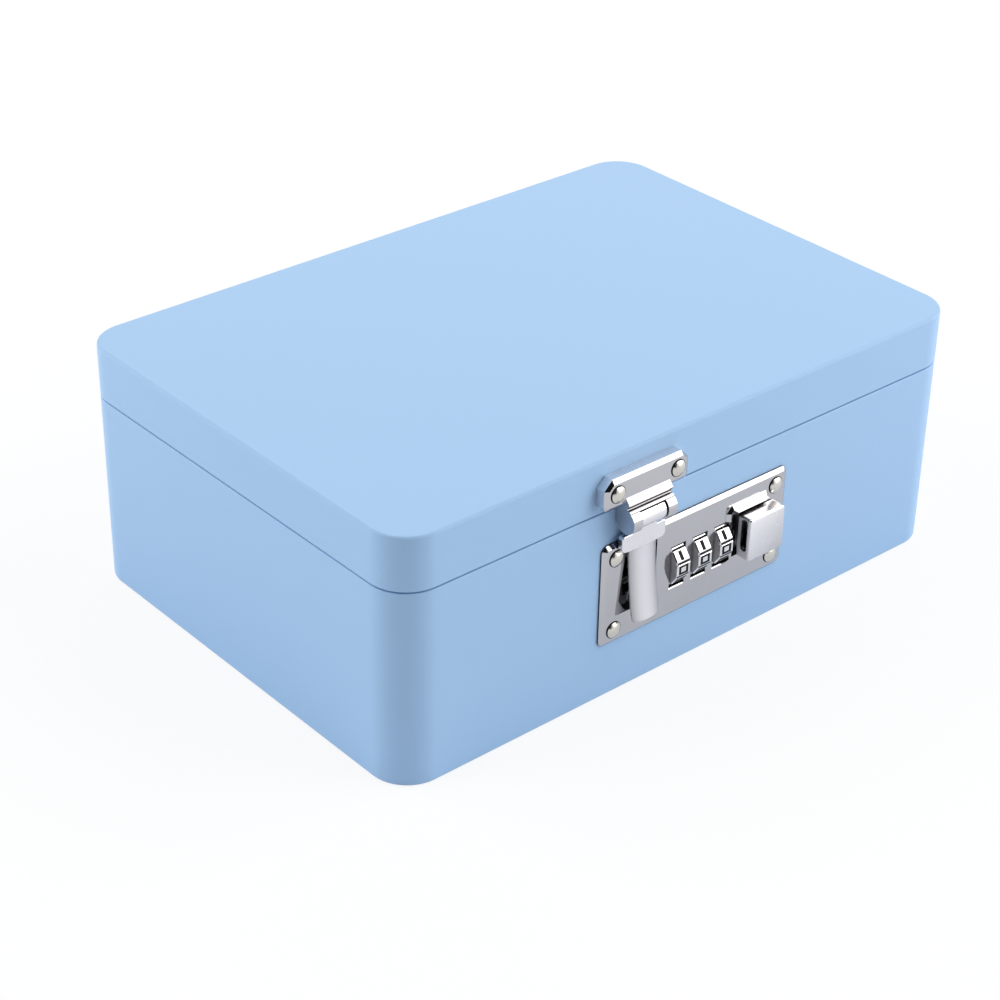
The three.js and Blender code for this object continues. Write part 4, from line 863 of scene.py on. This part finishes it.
for number, x in enumerate(WHEELS_X, 1):
    half = WHEEL_WIDTH / 2
    levels = ((-half, CHAMFER), (CHAMFER - half, 0), (half - CHAMFER, 0), (half, CHAMFER))
    rings = [[at_front(x + along, z, depth) for depth, z in wheel_outline(inset)] for along, inset in levels]
    wheel = stack(f"wheel_{number}_flats", rings)
    combine(wheel, [bar(BORE, x - BORE_REACH, x + BORE_REACH, SHAFT_DEPTH, SHAFT_Z)])
    dress(wheel, f"wheel_{number}", SATIN, f"dial_{number}", smooth=12)
    axis = at_front(x, SHAFT_Z, SHAFT_DEPTH)

    def in_groove(face, *middle):
        radial = face.center - axis
        radial.x = 0
        on_flat = face.normal.dot(radial.normalized()) > LOOKS_OUT
        return not on_flat and abs(face.normal.x) <= LOOKS_ROUND

    def on_end(face, *middle):
        return abs(face.normal.x) > LOOKS_ASIDE

    # The grooves are painted black as shade.
    repaint(wheel, ENAMEL_AND_SHADE, in_groove)
    repaint(wheel, GROUND, on_end)
    marks = [mark for value in range(FLATS) for mark in number_marks(value, axis)]
    numbers = join(f"wheel_{number}_numbers", marks)
    dress(numbers, f"wheel_{number}", ENAMEL_AND_SHADE)

# %% [markdown]
# ## Release button
# A square hollow cap with soft edges and a nearly flat, slightly crowned face, so that its
# reflections bend near the rim. A bevelled cube would come close, and rings give the crown as
# well. A thumb pocket is cut in its left side, a foot behind it rides on the shaft, and its
# side walls are brushed rather than polished.

# %% Button
BUTTON_BOX = (14.2, 27.5, 25.6, 38.7)
BUTTON_BACK = 1.5
POCKET, POCKET_ROUND, POCKET_X = (2.8, 5.0, 28.5, 37.9), 0.9, (13, 15.8)
FOOT_BLOCK = (20.9, 23.9, -4.9, 5, 29.1, 34.1)
SHAFT_HOLE, SHAFT_HOLE_X = 0.95, (20, 25)
BUTTON_MIDDLE_X, SIDE_WALL_FROM = 20.85, 6.3

button = front_rings("button_square", BUTTON_BOX, radii=1.2, profile=[
    (1.3, 4.7), (1.3, BUTTON_BACK), (0.25, BUTTON_BACK), (0, 1.75), *quarter((0, 5.1), (0.8, 5.88), False),
    (1.6, 5.95), (3, 6.0)])
combine(button, [side_slab(corner_ring(*POCKET, POCKET_ROUND), *POCKET_X)])
combine(button, [block(*FOOT_BLOCK)], "UNION")
combine(button, [bar(SHAFT_HOLE, *SHAFT_HOLE_X, SHAFT_DEPTH, SHAFT_Z)])
soften(button, width=0.1)
dress(button, "slider", BUTTON_PAINTED_SHADE, "button_cap")


def on_side_wall(face, x, depth, z):
    outside = abs(x - BUTTON_MIDDLE_X) > SIDE_WALL_FROM
    return outside and face.normal.z < 0.5 and abs(face.normal.x) > 0.45


repaint(button, BRUSHED, on_side_wall)

# %% [markdown]
# ## Hasp plate and barrel
# The upper plate is a thick casting with a sloped edge and two cut corners. Under it hang two
# ears for the pin and a curled cap with a bright lip over the knuckle of the flap. The ears
# and the cap are one outline each, seen from the side and stretched along the pin, which keeps
# their curves round the pin exact.

# %% Hasp plate
HASP_BOX = (-36.05, -7.55, 58.85, 67.5)
BARREL_DEPTH, BARREL_Z = 3.7, 54.2
EARS = ((-29.25, -26.25), (-17.35, -14.35))
CAP_OUTSIDE, CAP_INSIDE = 3.65, 3.25
PIN_HOLE, RIVET_HOLE = 1.1, 1.25
EARS_BORED, KNUCKLE_BORED = (-28.65, -14.95), (-27, -16)


def arc(radius, start, end, steps=14):
    angles = [math.radians(start + (end - start) * k / steps) for k in range(steps + 1)]
    return [(BARREL_DEPTH + radius * math.cos(a), BARREL_Z + radius * math.sin(a)) for a in angles]


hasp_plate = front_rings("hasp_plate_cast", HASP_BOX, radii=[1.6, 1.6, 2.6, 2.6],
                         profile=[(0, 0), (0, 2.9), (1.2, HASP_THICK)], steps=[6, 6, 1, 1])
cap = side_slab([(2.9, 61), (3.7, 61), (5, 59.4), (4.75, 58.9), (4.3, 58.25), (4.3, 58.03),
                 *arc(CAP_OUTSIDE, 80.5, 58), *arc(CAP_INSIDE, 52.5, 124), (0.2, 60.05)],
                EARS[0][0], EARS[1][1])
ears = [side_slab([(0.2, 60.05), *arc(3.43, 180, 450, 40), (3.7, 60.05)], *span) for span in EARS]
combine(hasp_plate, [cap, *ears], "UNION")
combine(hasp_plate, [bar(PIN_HOLE, *EARS_BORED, BARREL_DEPTH, BARREL_Z),
                     *[post(RIVET_HOLE, x, z, -1, 5) for x, z in HASP_RIVETS]])
soften(hasp_plate, width=0.1)
dress(hasp_plate, "lid", CHROME, "hasp_plate", smooth=18)

# %% [markdown]
# Under the lip and inside the cap no light comes in, and the cap's cut end shows as a dark
# slit above the knuckle. These faces are painted black as that shade, and the plate's upright
# walls are satin, where they pick up the blue of the lid.

# %% Dark and satin faces of the hasp plate
CAP_END = math.radians(56) + 0.03
CAP_RING, CAP_ROOF = (3.2, 3.7), 3.3
EAR_CLEAR = 0.02
UNDERCUT_UP, UNDERCUT_OUT = (3.85, 4.55), (0.5, 0.9)
WALL_LOW, WALL_DEPTH = 58.8, 2.95


def in_shadow(face, x, depth, z):
    out, up = depth - BARREL_DEPTH, z - BARREL_Z
    reach = math.hypot(out, up)
    under_lip = UNDERCUT_UP[0] < up < UNDERCUT_UP[1] and UNDERCUT_OUT[0] < out < UNDERCUT_OUT[1]
    undercut = under_lip and abs(face.normal.x) < 0.5
    between_ears = EARS[0][1] + EAR_CLEAR < x < EARS[1][0] - EAR_CLEAR
    cut_end = CAP_RING[0] < reach < CAP_RING[1] and math.atan2(up, out) < CAP_END and up > 0
    return undercut or between_ears and (cut_end or reach < CAP_ROOF)


def on_wall(face, x, depth, z):
    return z > WALL_LOW and abs(face.normal.y) < 0.2 and depth < WALL_DEPTH


# Painted shade: the faces under the lip and inside the cap are black.
repaint(hasp_plate, ENAMEL_AND_SHADE, in_shadow)
repaint(hasp_plate, SATIN, on_wall)

# %% [markdown]
# ## Flap
# The flap swings on the pin. A knuckle, a neck and a broad shoulder carry the tongue, a strip
# that curves away from the plate towards its free end so that a finger can lift it, with a
# slightly crowned face. A Curve with a bevel profile could make the tongue, and rings along
# the same bend let it narrow at the tip as well. The hook stands behind it.

# %% Knuckle and shoulder
FLAP_X = -21.8
KNUCKLE_RADIUS, KNUCKLE_SPAN = 2.95, (-25.95, -17.65)
FLAP_BACK, FLAP_FRONT = 1.5, 3.3
NECK_SPAN = (49, 52.6)

knuckle = bar(KNUCKLE_RADIUS, *KNUCKLE_SPAN, BARREL_DEPTH, BARREL_Z, name="flap_cast")
combine(knuckle, [bar(PIN_HOLE, *KNUCKLE_BORED, BARREL_DEPTH, BARREL_Z)])
soften(knuckle, width=0.15)
neck = block(*KNUCKLE_SPAN, FLAP_BACK, FLAP_FRONT, *NECK_SPAN)
shoulder_outline = [(-29.25, 48.4), *curve((-29.25, 45.8), (-29.25, 44.9), (-28.35, 44.45)),
                    *curve((-28.35, 44.45), (FLAP_X, 43.55), (-15.25, 44.45), 12),
                    *curve((-15.25, 44.45), (-14.35, 44.9), (-14.35, 45.8)), (-14.35, 48.4),
                    *curve((-14.35, 48.4), (-14.35, 49.3), (-15.25, 49.3)),
                    *curve((-28.35, 49.3), (-29.25, 49.3), (-29.25, 48.4))]
unique = [point for k, point in enumerate(shoulder_outline)
          if math.dist(point, shoulder_outline[k - 1]) > 0.001]
shoulder = slab(unique[::-1], FLAP_BACK, FLAP_FRONT)
soften(shoulder, width=0.3, segments=3, angle=50)
print("points round the shoulder:", len(unique))

# %% Tongue and hook
TONGUE_X, TONGUE_HALF = -21.0, 4.65
TONGUE_TIP, TONGUE_BEND, TONGUE_ROOT = (5.4, 22.8), (2.65, 35.6), (2.65, 48.4)
TONGUE_EDGE, TONGUE_BACK = 0.75, 1.4
CROWN_STEPS, CROWN_POWER = 24, 2.4
TONGUE_PAINT = 44.4
TIP_ROUND = 1.2
TIP_STEPS, TONGUE_STEPS = (0.004, 0.012, 0.025, 0.045), 20
HOOK_STEM = (-23.3, -20.3, -1.6, 4.0, 26, 28.6)
HOOK_NOTCH = (-24.3, -22.3, -1.0, 0.0, 25, 29.6)


def tongue_ring(t):
    depth, z = bend(TONGUE_TIP, TONGUE_BEND, TONGUE_ROOT, t)
    rise = min(z - TONGUE_TIP[1], TIP_ROUND)
    half = TONGUE_HALF - (TIP_ROUND - math.sqrt(max(TIP_ROUND ** 2 - (TIP_ROUND - rise) ** 2, 0)))
    ring = []
    for k in range(CROWN_STEPS + 1):
        side = -1 + 2 * k / CROWN_STEPS
        crown = TONGUE_EDGE * (1 - abs(side) ** CROWN_POWER)
        ring.append(at_front(TONGUE_X + half * side, z, depth - TONGUE_EDGE + crown))
    for side in (1, -1):
        ring.append(at_front(TONGUE_X + half * side, z, depth - TONGUE_BACK))
    return ring


stations = (*TIP_STEPS, *[k / TONGUE_STEPS for k in range(2, TONGUE_STEPS + 1)])
tongue = stack("tongue", [tongue_ring(t) for t in stations])
soften(tongue, width=0.14, segments=2, angle=50)
hook = block(*HOOK_STEM)
combine(hook, [block(*HOOK_NOTCH)])
flap = join("flap", [knuckle, neck, shoulder, tongue, hook])
dress(flap, "hasp", SATIN, "hasp_arm")
# The tongue's face gets the painted edge shade.
repaint(flap, FLAP_EDGE_SHADE, lambda face, x, depth, z: z < TONGUE_PAINT and face.normal.y < 0)

# %% [markdown]
# ## Rear hinges
# Two butt hinges of folded sheet carry the lid. The knuckles of one leaf sit between those of
# the other on a common pin. Rolling the sheet round the pin is how the real leaf is made. A
# flat slab joined to short bars looks the same once the seams are closed, and is simpler.

# %% Hinge leaves
HINGE_OUT, HINGE_Z = 2.2, 56.6
LEAF_NEAR, LEAF_FAR, LEAF_HALF, LEAF_CORNER = 2.2, 10.6, 15, 1.5
KNUCKLE_ROUND, HINGE_PIN_HOLE = 1.9, 1.0
FOOT_REACH = 3.7
KNUCKLE_GAP = 0.15
LEAVES = (("body", -1, ((-5, 5),)), ("lid", 1, ((-15, -5), (5, 15))))

for side, middle in HINGES:
    for body, up, spans in LEAVES:
        low, high = sorted((HINGE_Z + up * LEAF_NEAR, HINGE_Z + up * LEAF_FAR))
        outline = corner_ring(middle - LEAF_HALF, middle + LEAF_HALF, low, high, LEAF_CORNER)
        leaf = slab(outline, REAR - LEAF_THICK, REAR, f"hinge_{side}_{body}_sheet")
        foot = sorted((HINGE_Z, HINGE_Z + up * FOOT_REACH))
        knuckles = []
        for start, end in spans:
            span = (middle + start + KNUCKLE_GAP, middle + end - KNUCKLE_GAP)
            knuckles.append(block(*span, REAR - LEAF_THICK, REAR, *foot))
            knuckles.append(bar(KNUCKLE_ROUND, *span, REAR - HINGE_OUT, HINGE_Z, sides=40))
        combine(leaf, knuckles, "UNION")
        hole_ends = (middle - LEAF_HALF - 1, middle + LEAF_HALF + 1)
        combine(leaf, [bar(HINGE_PIN_HOLE, *hole_ends, REAR - HINGE_OUT, HINGE_Z, sides=32)])
        soften(leaf, width=0.1)
        dress(leaf, body, STEEL, f"hinge_{side}_{body}_leaf")

# %% [markdown]
# ## Coil springs
# A coil is a round wire led along a helix. The Screw modifier could turn one, and building the
# rings keeps both ends exactly in their seats. Each ring of the tube is built from two
# directions across the wire: straight out from the middle of the coil, and at right angles to
# that and to the wire. The spring behind the button stays in its seat and gets a mesh of its
# own.

# %% Springs
WIRE_THICK = 0.45 * MM
RINGS_PER_TURN, WIRE_SIDES = 28, 12


def coil(node_name, radius, turns, body):
    low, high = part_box(node_name)
    middle = (low + high) / 2
    radius *= MM
    start, end = low.x + WIRE_THICK / 2, high.x - WIRE_THICK / 2
    count = round(turns * RINGS_PER_TURN)
    climb = (end - start) / (2 * math.pi * turns)
    spokes = [2 * math.pi * n / WIRE_SIDES for n in range(WIRE_SIDES)]
    rings = []
    for k in range(count + 1):
        angle = 2 * math.pi * turns * k / count
        radial = Vector((0, math.cos(angle), math.sin(angle)))
        along = Vector((climb, -radius * radial.z, radius * radial.y)).normalized()
        other = along.cross(radial)
        centre = Vector((start + (end - start) * k / count, middle.y, middle.z)) + radius * radial
        rings.append([centre + WIRE_THICK / 2 * (math.cos(b) * radial + math.sin(b) * other) for b in spokes])
    made = stack(node_name + "_wire", rings)
    dress(made, body, WIRE, node_name, smooth=50)
    return made, low, high


coil("shaft_spring", radius=1.7, turns=2, body="body")
coil("hasp_spring", radius=1.65, turns=5, body="hasp")
spring, seat, free_end = coil("slide_spring", radius=1.75, turns=3, body="body")
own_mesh(spring)

# %% [markdown]
# ## Works
# The tray, its cover and screws, the shaft, sleeves, clip, catch and flat spring keep their
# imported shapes, because they hardly show through the openings. They only need the finish of
# the real ones: zinc-plated sheet, dark spring wire, and black oxide on the pieces that stand
# behind the slot and the windows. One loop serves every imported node, because those that were
# built again above no longer show.

# %% Finishes of the works
for node_name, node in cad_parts.items():
    wire = any(word in node_name for word in ("spring", "clip", "screw"))
    dark = node_name in ("lock_cover", "catch_slide", "dial_shaft")
    for material_slot in node.material_slots:
        material_slot.material = WIRE if wire else BLACK_OXIDE_AND_RIM_SHADE if dark else STEEL
print("works dressed:", len(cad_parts))

# %% Size and finish
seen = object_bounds()
{"cad": [list(corner) for corner in cad_bounds], "visual": [list(corner) for corner in seen]}
print("visual size in mm:", [round(side / MM, 1) for side in seen[1] - seen[0]])
